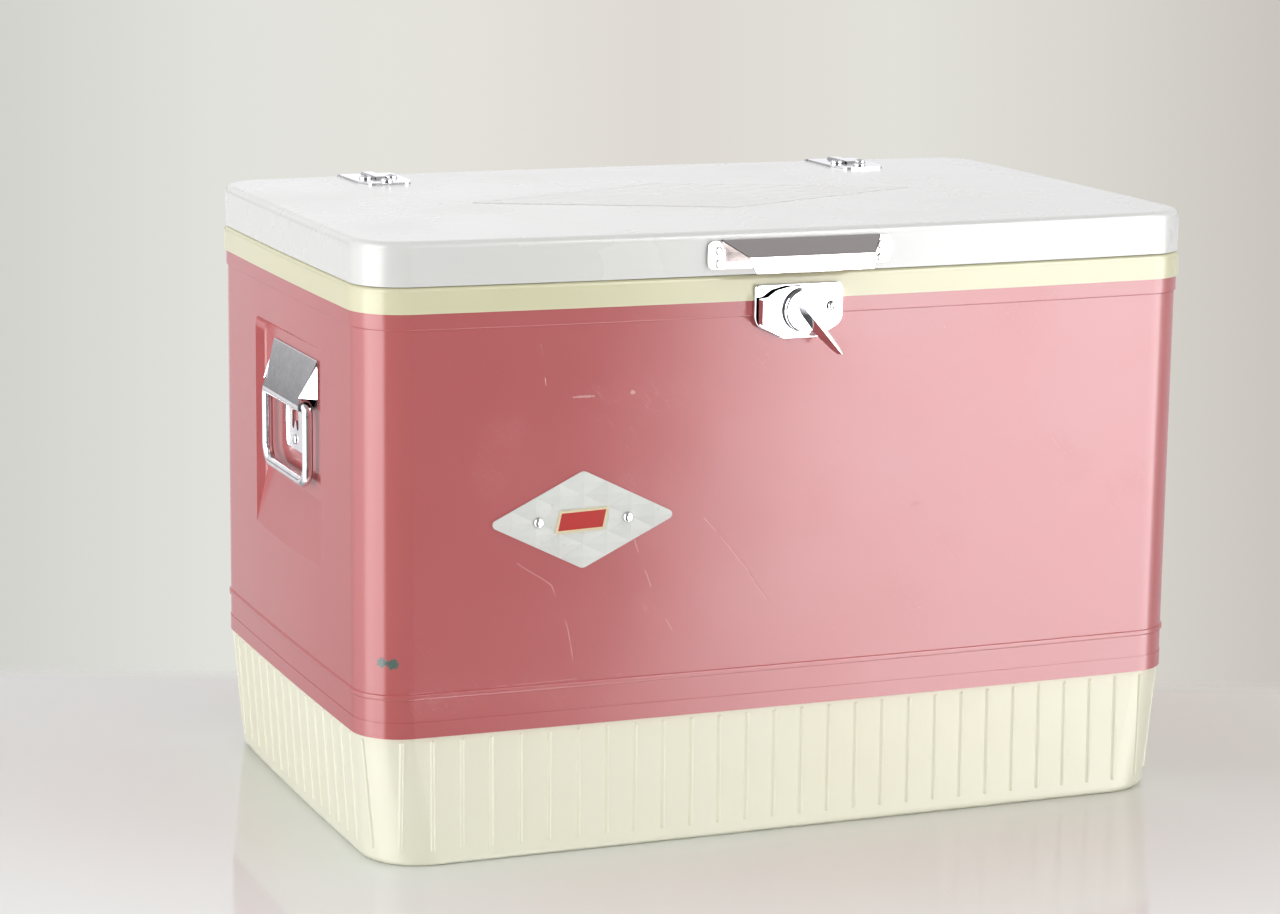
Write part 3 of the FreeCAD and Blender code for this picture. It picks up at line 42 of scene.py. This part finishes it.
class Shader:
    """A node material with one Principled surface, and short ways to add and join nodes."""

    def __init__(self, name):
        self.material = bpy.data.materials.new(name)
        self.material.use_nodes = True
        self.tree = self.material.node_tree
        self.surface = self.tree.nodes["Principled BSDF"]
        self.place = self.add("ShaderNodeTexCoord").outputs["Object"]

    def add(self, kind, settings=None, **inputs):
        node = self.tree.nodes.new(kind)
        for name, value in (settings or {}).items():
            setattr(node, name, value)
        for name, value in inputs.items():
            self.put(node.inputs[name.replace("_", " ")], value)
        return node

    def put(self, socket, value):
        if isinstance(value, bpy.types.NodeSocket):
            self.tree.links.new(value, socket)
        elif isinstance(value, tuple) and len(value) == 3 and socket.type == "RGBA":
            socket.default_value = (*value, 1)
        else:
            socket.default_value = value

    def math(self, operation, a, b=0.0, clamp=False):
        node = self.add("ShaderNodeMath", {"operation": operation, "use_clamp": clamp})
        self.put(node.inputs[0], a)
        self.put(node.inputs[1], b)
        return node.outputs[0]

    def stretched(self, scale):
        """The object's coordinates in metres, scaled along each axis."""
        node = self.add("ShaderNodeMapping", Vector=self.place)
        node.inputs["Scale"].default_value = scale
        return node.outputs[0]

    def noise(self, scale, detail=3.0, rough=0.5, vector=None):
        node = self.add("ShaderNodeTexNoise", Scale=scale, Detail=detail, Roughness=rough)
        self.put(node.inputs["Vector"], vector or self.place)
        return node.outputs["Fac"]

    def span(self, value, low, high, to_low=0.0, to_high=1.0, smooth=False):
        kind = "SMOOTHSTEP" if smooth else "LINEAR"
        node = self.add("ShaderNodeMapRange", {"interpolation_type": kind})
        for name, number in (
            ("Value", value), ("From Min", low), ("From Max", high), ("To Min", to_low), ("To Max", to_high),
        ):
            self.put(node.inputs[name], number)
        return node.outputs[0]

    def mixed(self, share, first, second):
        node = self.add("ShaderNodeMix", {"data_type": "RGBA"})
        self.put(node.inputs[0], share)
        self.put(node.inputs[6], first)
        self.put(node.inputs[7], second)
        return node.outputs[2]

    def bump(self, height, strength, distance=0.001, normal=None):
        node = self.add("ShaderNodeBump", Strength=strength, Distance=distance, Height=height)
        if normal is not None:
            self.put(node.inputs["Normal"], normal)
        return node.outputs[0]

    def scratches(self, fineness, turn, width, share):
        """Thin lines along X turned by the angles TURN, in patches that cover about SHARE of the surface."""
        turned = self.add("ShaderNodeMapping", {"vector_type": "TEXTURE"}, Vector=self.place)
        turned.inputs["Rotation"].default_value = turn
        turned.inputs["Scale"].default_value = (40 / fineness, 1 / fineness, 1 / fineness)
        lines = self.noise(1.0, 1.0, 0.4, turned.outputs[0])
        near = self.math("ABSOLUTE", self.math("SUBTRACT", lines, 0.5))
        thin = self.span(near, width, 0.0)
        patches = self.span(self.noise(13.0, 3.0), 1 - share, 1.06 - share)
        return self.math("MULTIPLY", thin, patches, clamp=True)

    def openness(self, reach, inside=False):
        """1 on open surface, less in seams, or with INSIDE less beside sharp edges, within REACH metres."""
        node = self.add("ShaderNodeAmbientOcclusion", {"inside": inside, "samples": 8}, Distance=reach)
        return node.outputs["AO"]

    def vector_math(self, operation, a, b=(0, 0, 0), output="Vector"):
        node = self.add("ShaderNodeVectorMath", {"operation": operation})
        self.put(node.inputs[0], a)
        self.put(node.inputs[1], b)
        return node.outputs[output]

    def finish(self, **inputs):
        for name, value in inputs.items():
            self.put(self.surface.inputs[name.replace("_", " ")], value)
        return self.material


def spot(shader, at, size):
    """1 inside a ragged ellipsoid round AT with half sizes SIZE, both in millimetres, and 0 outside."""
    gap = shader.vector_math("SUBTRACT", shader.place, tuple(value * MM for value in at))
    scaled = shader.vector_math("DIVIDE", gap, tuple(value * MM for value in size))
    length = shader.vector_math("LENGTH", scaled, output="Value")
    ragged = shader.math("ADD", length, shader.math("MULTIPLY", shader.noise(700.0, 3.0), 1.2))
    return shader.span(ragged, 1.7, 1.5)


SCORE_WANDER = 6.0  # how far a scored line strays, end to end of its waves


def scored_line(shader, start, end, width):
    """1 on a thin line between two points of the XZ plane, in millimetres, fading to 0 beside it."""
    away = Vector((end[0] - start[0], 0, end[1] - start[1])) * MM
    wander = shader.add("ShaderNodeTexNoise", Scale=22.0, Detail=1.0, Vector=shader.place).outputs["Color"]
    wander = shader.vector_math("MULTIPLY", wander, (SCORE_WANDER * MM, 0, SCORE_WANDER * MM))
    shifted = shader.vector_math("ADD", shader.place, wander)
    middle = SCORE_WANDER / 2
    gap = shader.vector_math("SUBTRACT", shifted, ((start[0] + middle) * MM, 0, (start[1] + middle) * MM))
    flat = shader.vector_math("MULTIPLY", gap, (1, 0, 1))
    along = shader.vector_math("DOT_PRODUCT", flat, tuple(away), "Value")
    share = shader.math("DIVIDE", along, away.length_squared, clamp=True)
    step = shader.add("ShaderNodeVectorMath", {"operation": "SCALE"})
    shader.put(step.inputs[0], tuple(away))
    shader.put(step.inputs["Scale"], share)
    off = shader.vector_math("LENGTH", shader.vector_math("SUBTRACT", flat, step.outputs[0]), output="Value")
    return shader.span(off, width * MM, width * MM * 0.3)


# ---------------------------------------------------------------- materials

# chips down to dark metal and pale scuffs on the belt: where, and half sizes
CHIPS = [
    ((-270.8, -162.8, 130.4), (4.6, 4.6, 3.4)), ((-264.6, -166.5, 129.9), (4.6, 4.6, 3.6)),
    ((-272.1, -161.6, 103.2), (1.6, 1.6, 1.0)),
]
SCUFFS = [
    ((-255.6, -171.0, 284.5), (1.6, 3.0, 3.0)), ((-255.0, -171.0, 269.3), (0.8, 3.0, 5.0)),
    ((-256.2, -171.0, 254.0), (1.2, 3.0, 2.2)), ((-255.5, -171.0, 238.8), (1.3, 3.0, 2.2)),
    ((-255.6, -171.0, 232.6), (1.0, 3.0, 1.6)), ((-144.0, -174.0, 289.6), (9.0, 4.0, 0.9)),
    ((-112.2, -174.5, 290.7), (2.0, 4.0, 1.4)),
]
SCORE_WIDTH = 0.40
# long scores in the belt's front, as lines of (x, z) points
SCORES = [
    [(-67.7, 213.5), (-32.4, 173.7), (-18.3, 153.0)],
    [(-110.2, 198.6), (-94.1, 155.6), (-74.4, 125.5)],
    [(-185.4, 187.2), (-163.9, 172.8), (-153.6, 146.8), (-147.7, 121.0)],
    [(-170.5, 323.3), (-167.4, 297.8)],
    [(-253.5, 110.6), (-116.3, 111.9)],
]


def belt_paint():
    """Old glossy enamel over sheet steel: faint orange peel, waves, hairlines, scores, scuffs and chips."""
    s = Shader("belt_paint")
    fade = s.span(s.noise(3.2, 3.0), 0.3, 0.7)
    colour = s.mixed(fade, (0.50, 0.124, 0.128), (0.525, 0.136, 0.141))
    steep = s.scratches(700.0, (0, 0.9, 0), 0.004, 0.42)
    shallow = s.scratches(620.0, (0, -0.35, 0), 0.004, 0.38)
    hairlines = s.math("MAXIMUM", steep, shallow)
    colour = s.mixed(s.math("MULTIPLY", hairlines, 0.22), colour, (0.85, 0.52, 0.52))
    scores = 0.0
    for line in SCORES:
        for start, end in zip(line, line[1:]):
            scores = s.math("MAXIMUM", scored_line(s, start, end, SCORE_WIDTH), scores)
    on_the_front = s.span(s.vector_math("DOT_PRODUCT", s.place, (0, -1, 0), "Value"), 0.15, 0.16)
    broken = s.span(s.noise(60.0), 0.42, 0.52)
    scores = s.math("MULTIPLY", scores, s.math("MULTIPLY", on_the_front, broken))
    colour = s.mixed(s.math("MULTIPLY", scores, 0.18), colour, (0.90, 0.58, 0.56))
    for at, size in SCUFFS:
        colour = s.mixed(s.math("MULTIPLY", spot(s, at, size), 0.38), colour, (0.88, 0.66, 0.63))
    chips = 0.0
    for at, size in CHIPS:
        chips = s.math("MAXIMUM", spot(s, at, size), chips)
    bare = s.mixed(s.noise(900.0), (0.045, 0.075, 0.065), (0.16, 0.24, 0.21))
    colour = s.mixed(chips, colour, bare)
    peel = s.bump(s.noise(900.0, 2.0), 0.04, 0.0004)
    waves = s.bump(s.noise(7.0, 1.0), 0.10, 0.004, peel)
    cuts = s.math("ADD", s.math("ADD", hairlines, scores), chips)
    scored = s.bump(s.math("MULTIPLY", cuts, -1.0), 0.25, 0.0001, waves)
    rough = s.span(s.noise(14.0, 4.0), 0.3, 0.7, 0.12, 0.17)
    return s.finish(Base_Color=colour, Roughness=rough, IOR=1.5, Normal=scored)


def lid_paint():
    """White enamel with a little dust, orange peel and a few thin grey marks."""
    s = Shader("lid_paint")
    dust = s.span(s.noise(5.0, 4.0), 0.35, 0.7)
    colour = s.mixed(dust, (0.75, 0.76, 0.75), (0.725, 0.73, 0.71))
    marks = s.scratches(500.0, (0, 0, 1.1), 0.004, 0.40)
    colour = s.mixed(s.math("MULTIPLY", marks, 0.08), colour, (0.45, 0.44, 0.42))
    peel = s.bump(s.noise(900.0, 2.0), 0.05, 0.0004)
    waves = s.bump(s.noise(8.0, 1.0), 0.1, 0.003, peel)
    rough = s.span(s.noise(12.0, 4.0), 0.3, 0.7, 0.22, 0.34)
    return s.finish(
        Base_Color=colour, Roughness=rough, IOR=1.5, Normal=waves, Coat_Weight=0.2, Coat_Roughness=0.1,
    )


def moulded(name, fresh, aged, rough, age_scale=4.0, grain=0.015):
    """Moulded plastic, unevenly yellowed, with a fine surface grain."""
    s = Shader(name)
    age = s.span(s.noise(age_scale, 4.0), 0.35, 0.72)
    colour = s.mixed(age, fresh, aged)
    cloud = s.math("MULTIPLY", s.span(s.noise(45.0, 4.0), 0.3, 0.8), 0.05)
    colour = s.mixed(cloud, colour, tuple(value * 0.8 for value in aged))
    surface = s.bump(s.noise(1400.0, 2.0), grain, 0.0002)
    roughness = s.span(s.noise(30.0, 3.0), 0.3, 0.7, rough - 0.015, rough + 0.015)
    return s.finish(Base_Color=colour, Roughness=roughness, IOR=1.48, Normal=surface)


PAINTED_SHADE_COLOUR = (0.035, 0.037, 0.042)  # painted shade: the dark colour painted into bright plating's seams and along its sharp rims
SEAM_REACH = 9.0 * MM
RIM_REACH = 0.7 * MM


def plated(name, colour, rough, brushed=False):
    """Bright plating with hairlines and slight clouding, and painted shade in its seams and along sharp
    rims; a brushed one has upright lines and painted shade on its left-facing sides.
    """
    s = Shader(name)
    cloud = s.noise(90.0, 4.0)
    worn = s.scratches(900.0, (0.6, 0.7, 0.4), 0.01, 0.45)
    if brushed:
        lines = s.noise(1.0, 4.0, 0.6, s.stretched((2600.0, 2600.0, 30.0)))
        normal = s.bump(lines, 0.22, 0.0002)
        roughness = s.span(lines, 0.3, 0.7, rough, rough + 0.12)
        shade = s.span(lines, 0.3, 0.7, 0.0, 1.0)
    else:
        normal = s.bump(s.noise(240.0, 2.0), 0.05, 0.0004)
        roughness = s.span(cloud, 0.35, 0.7, rough, rough + 0.07)
        shade = s.span(cloud, 0.4, 0.75)
    normal = s.bump(s.math("MULTIPLY", worn, -1.0), 0.12, 0.00005, normal)
    tint = s.mixed(shade, colour, tuple(value * 0.86 for value in colour))
    # painted shade: occlusion darkens the colour in seams and, sampled inside, along sharp rims, standing
    # for shade and dark reflections
    unshaded_by_seams = s.span(s.openness(SEAM_REACH), 0.15, 0.72)
    unshaded_by_edges = s.span(s.openness(RIM_REACH, True), 0.30, 0.60)
    unshaded_share = s.math("MULTIPLY", unshaded_by_seams, unshaded_by_edges)
    # painted shade: on the brushed plate, faces turned to the left get the painted dark colour
    if brushed:
        facing = s.add("ShaderNodeNewGeometry").outputs["Normal"]
        to_the_left = s.vector_math("DOT_PRODUCT", facing, (-1, 0, 0), "Value")
        unshaded_share = s.math("MULTIPLY", unshaded_share, s.span(to_the_left, 0.20, 0.08))
    tint = s.mixed(unshaded_share, PAINTED_SHADE_COLOUR, tint)
    return s.finish(Base_Color=tint, Metallic=1.0, Roughness=roughness, Normal=normal)


def foam():
    """Yellowed rigid foam with open cells."""
    s = Shader("foam")
    cells = s.add("ShaderNodeTexVoronoi", Scale=420.0, Vector=s.place)
    colour = s.mixed(s.span(cells.outputs["Distance"], 0.0, 0.7), (0.62, 0.50, 0.26), (0.82, 0.72, 0.45))
    return s.finish(Base_Color=colour, Roughness=0.9, Normal=s.bump(cells.outputs["Distance"], 0.6, 0.0008))


def rubber():
    """Dull grey rubber, dusty in places."""
    s = Shader("seal_rubber")
    dusty = s.span(s.noise(60.0, 4.0), 0.35, 0.7)
    colour = s.mixed(dusty, (0.50, 0.49, 0.46), (0.60, 0.59, 0.56))
    return s.finish(Base_Color=colour, Roughness=0.72, Normal=s.bump(s.noise(1100.0, 2.0), 0.15, 0.0003))


def enamel(name, colour, worn_colour, rough, shine):
    """Thin paint on a small pressed part, with worn specks."""
    s = Shader(name)
    worn = s.span(s.noise(260.0, 3.0), 0.66, 0.72, 0.0, 0.5)
    tint = s.mixed(worn, colour, worn_colour)
    darker = s.math("MULTIPLY", s.span(s.noise(40.0, 2.0), 0.3, 0.7), 0.12)
    shade = s.mixed(darker, tint, (0.30, 0.29, 0.27))
    return s.finish(
        Base_Color=shade, Roughness=s.span(s.noise(120.0, 3.0), 0.3, 0.7, rough, rough + 0.1),
        Specular_IOR_Level=shine, Normal=s.bump(s.noise(500.0, 2.0), 0.06, 0.0003),
    )


# the label's red field: its middle in X and Z, half sizes, and how its upright and level edges lean
LABEL_MIDDLE = (-144.7, 213.0)
LABEL_HALF = (14.4, 5.5)
LABEL_LEAN = (0.207, 0.038)


def label_print():
    """A plain red field with a cream border on the badge's plaque."""
    s = Shader("label_red")
    across, _, upward = s.add("ShaderNodeSeparateXYZ", Vector=s.place).outputs
    across = s.math("SUBTRACT", across, LABEL_MIDDLE[0] * MM)
    upward = s.math("SUBTRACT", upward, LABEL_MIDDLE[1] * MM)
    level = s.math("SUBTRACT", upward, s.math("MULTIPLY", across, LABEL_LEAN[1]))
    upright = s.math("SUBTRACT", across, s.math("MULTIPLY", upward, LABEL_LEAN[0]))
    inside = s.math(
        "MULTIPLY",
        s.span(s.math("ABSOLUTE", level), LABEL_HALF[1] * MM, (LABEL_HALF[1] - 0.15) * MM),
        s.span(s.math("ABSOLUTE", upright), LABEL_HALF[0] * MM, (LABEL_HALF[0] - 0.15) * MM),
    )
    red = s.mixed(s.noise(300.0, 3.0), (0.48, 0.017, 0.012), (0.40, 0.024, 0.018))
    cream = s.mixed(s.noise(200.0, 3.0), (0.80, 0.72, 0.50), (0.74, 0.63, 0.40))
    return s.finish(
        Base_Color=s.mixed(inside, cream, red), Roughness=s.span(s.noise(120.0), 0.3, 0.7, 0.3, 0.4),
        Specular_IOR_Level=0.3, Normal=s.bump(s.noise(500.0, 2.0), 0.06, 0.0003),
    )


def slot_materials():
    """One material for each of the record's slots."""
    return {
        "belt_paint": belt_paint(),
        "lid_paint": lid_paint(),
        "rim_plastic": moulded("rim_plastic", (0.735, 0.72, 0.50), (0.705, 0.68, 0.455), 0.2),
        "base_plastic": moulded("base_plastic", (0.83, 0.835, 0.69), (0.82, 0.805, 0.635), 0.30),
        "liner_plastic": moulded("liner_plastic", (0.80, 0.79, 0.72), (0.76, 0.73, 0.62), 0.32),
        "drain_plastic": moulded("drain_plastic", (0.78, 0.75, 0.62), (0.70, 0.66, 0.52), 0.38, 30.0),
        "chrome_plate": plated("chrome_plate", (0.82, 0.83, 0.84), 0.05),
        "brushed_plate": plated("brushed_plate", (0.66, 0.62, 0.60), 0.12, True),
        "zinc_steel": plated("zinc_steel", (0.62, 0.62, 0.61), 0.24),
        "badge_white": enamel("badge_white", (0.77, 0.79, 0.76), (0.66, 0.66, 0.61), 0.38, 0.25),
        "label_red": label_print(),
        "seal_rubber": rubber(),
        "foam": foam(),
    }


# ---------------------------------------------------------------- stage, light and camera

def camera_axes():
    """The camera's right, up and backward directions."""
    az, el, roll = CAMERA_AZIMUTH, CAMERA_ELEVATION, CAMERA_ROLL
    back = Vector((math.sin(az) * math.cos(el), -math.cos(az) * math.cos(el), math.sin(el)))
    right = Vector((math.cos(az), math.sin(az), 0))
    up = back.cross(right)
    rolled_right = right * math.cos(roll) + up * math.sin(roll)
    rolled_up = up * math.cos(roll) - right * math.sin(roll)
    return rolled_right, rolled_up, back


def add_camera():
    data = bpy.data.cameras.new("camera")
    data.lens = CAMERA_LENS
    data.sensor_width = 36.0
    camera = bpy.data.objects.new("camera", data)
    bpy.context.scene.collection.objects.link(camera)
    turn = Matrix(camera_axes()).transposed().to_4x4()
    camera.matrix_world = Matrix.Translation(Vector(CAMERA_PLACE) * MM) @ turn
    bpy.context.scene.camera = camera


def add_floor():
    """A pale glossy table top that fades out behind the chest, where the backdrop begins, with painted
    light: bright near the camera, darker farther off, and shifting from left to right.
    """
    half = FLOOR_SIZE / 2
    mesh = bpy.data.meshes.new("floor")
    corners = [(-half, -half, 0), (half, -half, 0), (half, half, 0), (-half, half, 0)]
    mesh.from_pydata(corners, [], [(0, 1, 2, 3)])
    floor = bpy.data.objects.new("floor", mesh)
    bpy.context.scene.collection.objects.link(floor)
    s = Shader("floor")
    turn = CAMERA_AZIMUTH
    ahead = s.vector_math("DOT_PRODUCT", s.place, (-math.sin(turn), math.cos(turn), 0), "Value")
    across = s.vector_math("DOT_PRODUCT", s.place, (math.cos(turn), math.sin(turn), 0), "Value")
    # painted light and shade: the table is coloured brighter near the camera and darker farther off, with a
    # shift from left to right
    far = s.span(ahead, FLOOR_NEAR, 0.0)
    right = s.span(across, -0.2, 0.6)
    far_painted_shade = s.mixed(right, (0.65, 0.66, 0.645), (0.645, 0.625, 0.57))
    near_painted_light = s.mixed(right, (0.85, 0.88, 0.87), (0.99, 1.0, 1.0))
    shade = s.mixed(far, near_painted_light, far_painted_shade)
    clouds = s.mixed(s.span(s.noise(3.0, 3.0), 0.3, 0.7, 0.0, 0.12), shade, (0.68, 0.68, 0.66))
    shown = s.span(ahead, FLOOR_EDGE, FLOOR_EDGE + 0.05, 1.0, 0.0, True)
    material = s.finish(
        Base_Color=clouds, Roughness=s.span(s.noise(8.0, 3.0), 0.3, 0.7, 0.05, 0.09), IOR=1.31, Alpha=shown,
        Normal=s.bump(s.noise(400.0, 2.0), 0.02, 0.0003),
    )
    mesh.materials.append(material)
    floor.visible_glossy = False


# brightness of what level faces mirror, by compass direction from straight behind (-180) to the front (0)
SURROUND = [
    (-180, 0.9), (-166, 1.05), (-157, 0.62), (-130, 1.9), (-116, 2.6), (-106, 3.4), (-99, 6.2), (-88, 7.4),
    (-56, 6.8), (-49, 0.4), (-40, 0.25), (12, 0.28), (18.5, 0.6), (20.8, 1.8), (23.2, 9.4), (27, 11.3),
    (58, 11.4), (68, 3.5), (80, 1.4), (98, 1.2), (130, 0.75), (150, 0.95), (165, 1.2), (180, 0.9),
]
OVERHEAD = 0.42  # brightness straight up
BELOW = 0.5  # how much of the sides' brightness is left towards the floor
DARK_LINE = 0.15  # and on the level line, where the table's far edge lies
DARK_CORE = 0.012  # how far above and below the level line the full darkness reaches
DARK_FADE = 0.070  # and where it has faded out
FOOT_FADE = (-0.45, -0.15)  # heights between which BELOW takes over
SKY_FADE = (0.70, 0.80)  # heights between which OVERHEAD takes over
REFLECTED_TINT = (0.985, 0.97, 1.0, 1)
EVEN_TINT = (1.0, 0.995, 0.98, 1)
EVEN_STRENGTH = 0.80


def add_surroundings():
    """Even soft light, a studio with bright cards that only mirrors see, and a warm grey backdrop with
    painted light and shade across it.
    """
    world = bpy.data.worlds.new("studio")
    bpy.context.scene.world = world
    world.use_nodes = True
    tree = world.node_tree
    tree.nodes.clear()

    def node(kind, **settings):
        made = tree.nodes.new(kind)
        for name, value in settings.items():
            setattr(made, name, value)
        return made

    def link(output, socket):
        tree.links.new(output, socket)

    def calculate(operation, a, b=0.0):
        made = node("ShaderNodeMath", operation=operation)
        for socket, value in zip(made.inputs, (a, b)):
            if isinstance(value, (int, float)):
                socket.default_value = value
            else:
                link(value, socket)
        return made.outputs[0]

    def span(value, low, high, to_low=0.0, to_high=1.0):
        made = node("ShaderNodeMapRange")
        link(value, made.inputs["Value"])
        for name, number in (("From Min", low), ("From Max", high), ("To Min", to_low), ("To Max", to_high)):
            made.inputs[name].default_value = number
        return made.outputs[0]

    place = node("ShaderNodeTexCoord")
    direction = node("ShaderNodeSeparateXYZ")
    link(place.outputs["Generated"], direction.inputs[0])
    east, north, height = direction.outputs
    compass = calculate("ARCTAN2", east, calculate("MULTIPLY", north, -1.0))
    turn = calculate("ADD", calculate("DIVIDE", compass, 2 * math.pi), 0.5)
    ramp = node("ShaderNodeValToRGB")
    link(turn, ramp.inputs[0])
    top_value = max(value for _, value in SURROUND)
    stops = ramp.color_ramp.elements
    while len(stops) < len(SURROUND):
        stops.new(0.5)
    for stop, (angle, value) in zip(stops, SURROUND):
        stop.position = (angle + 180) / 360
        stop.color = (value / top_value,) * 3 + (1,)
    sides = calculate("MULTIPLY", ramp.outputs[0], top_value)
    sides = calculate("MULTIPLY", sides, span(height, *FOOT_FADE, BELOW, 1.0))
    off_level = calculate("ABSOLUTE", height)
    sides = calculate("MULTIPLY", sides, span(off_level, DARK_CORE, DARK_FADE, DARK_LINE, 1.0))
    blend = node("ShaderNodeMix", data_type="FLOAT")
    link(span(height, *SKY_FADE), blend.inputs[0])
    link(sides, blend.inputs[2])
    blend.inputs[3].default_value = OVERHEAD
    reflected = node("ShaderNodeBackground")
    reflected.inputs["Color"].default_value = REFLECTED_TINT
    link(blend.outputs[0], reflected.inputs["Strength"])

    even = node("ShaderNodeBackground")
    even.inputs["Color"].default_value = EVEN_TINT
    even.inputs["Strength"].default_value = EVEN_STRENGTH

    window = node("ShaderNodeSeparateXYZ")
    link(place.outputs["Window"], window.inputs[0])
    across = node("ShaderNodeValToRGB")
    link(window.outputs["X"], across.inputs[0])
    backdrop_stops = across.color_ramp.elements
    while len(backdrop_stops) < len(BACKDROP):
        backdrop_stops.new(0.5)
    for stop, (position, colour) in zip(backdrop_stops, BACKDROP):
        stop.position = position
        stop.color = (*colour, 1)
    backdrop = node("ShaderNodeBackground")
    link(across.outputs[0], backdrop.inputs["Color"])

    rays = node("ShaderNodeLightPath")
    soft_or_mirror = node("ShaderNodeMixShader")
    link(rays.outputs["Is Glossy Ray"], soft_or_mirror.inputs[0])
    link(even.outputs[0], soft_or_mirror.inputs[1])
    link(reflected.outputs[0], soft_or_mirror.inputs[2])
    seen = node("ShaderNodeMixShader")
    link(rays.outputs["Is Camera Ray"], seen.inputs[0])
    link(soft_or_mirror.outputs[0], seen.inputs[1])
    link(backdrop.outputs[0], seen.inputs[2])
    link(seen.outputs[0], node("ShaderNodeOutputWorld").inputs["Surface"])


# the backdrop's colour across the picture, with painted light and shade: darker towards the picture's sides
BACKDROP = [
    (0.0, (0.65, 0.65, 0.61)), (0.17, (0.76, 0.76, 0.72)), (0.35, (0.78, 0.765, 0.71)),
    (0.52, (0.73, 0.70, 0.65)), (0.70, (0.76, 0.75, 0.70)), (0.86, (0.69, 0.67, 0.62)),
    (1.0, (0.59, 0.565, 0.52)),
]


# soft round lamps: name, place, width, power in watts, and what each points at
LAMPS = [
    ("key_lamp", (1.7, -1.6, 1.5), 1.4, 4.0, (0, 0, 0.2)),
    ("left_lamp", (-1.5, -0.35, 0.15), 0.8, 6.0, (0, 0, 0.05)),
    ("top_lamp", (0.0, 0.4, 2.4), 2.0, 6.0, (0, 0, 0.2)),
]
LAMP_COLOUR = (1.0, 0.99, 0.98)


def add_lamp(name, at, size, power, target):
    data = bpy.data.lights.new(name, "AREA")
    data.shape = "DISK"
    data.size = size
    data.energy = power
    data.color = LAMP_COLOUR
    lamp = bpy.data.objects.new(name, data)
    bpy.context.scene.collection.objects.link(lamp)
    lamp.location = at
    lamp.rotation_euler = (Vector(target) - Vector(at)).to_track_quat("-Z", "Y").to_euler()
    lamp.visible_glossy = False


# ---------------------------------------------------------------- carried-over CAD nodes

def dress_cad_nodes(materials):
    """Give every CAD node the material of its slot."""
    for entry in frame["record"]["subparts"]:
        node = frame["nodes"][entry["node"]]
        node.data.materials.clear()
        node.data.materials.append(materials[entry["material_slot"]])


# ---------------------------------------------------------------- put together

def build():
    bpy.context.scene.view_settings.view_transform = "Standard"
    materials = slot_materials()
    dress_cad_nodes(materials)
    add_floor()
    add_surroundings()
    for name, at, size, power, target in LAMPS:
        add_lamp(name, at, size, power, target)
    add_camera()


build()
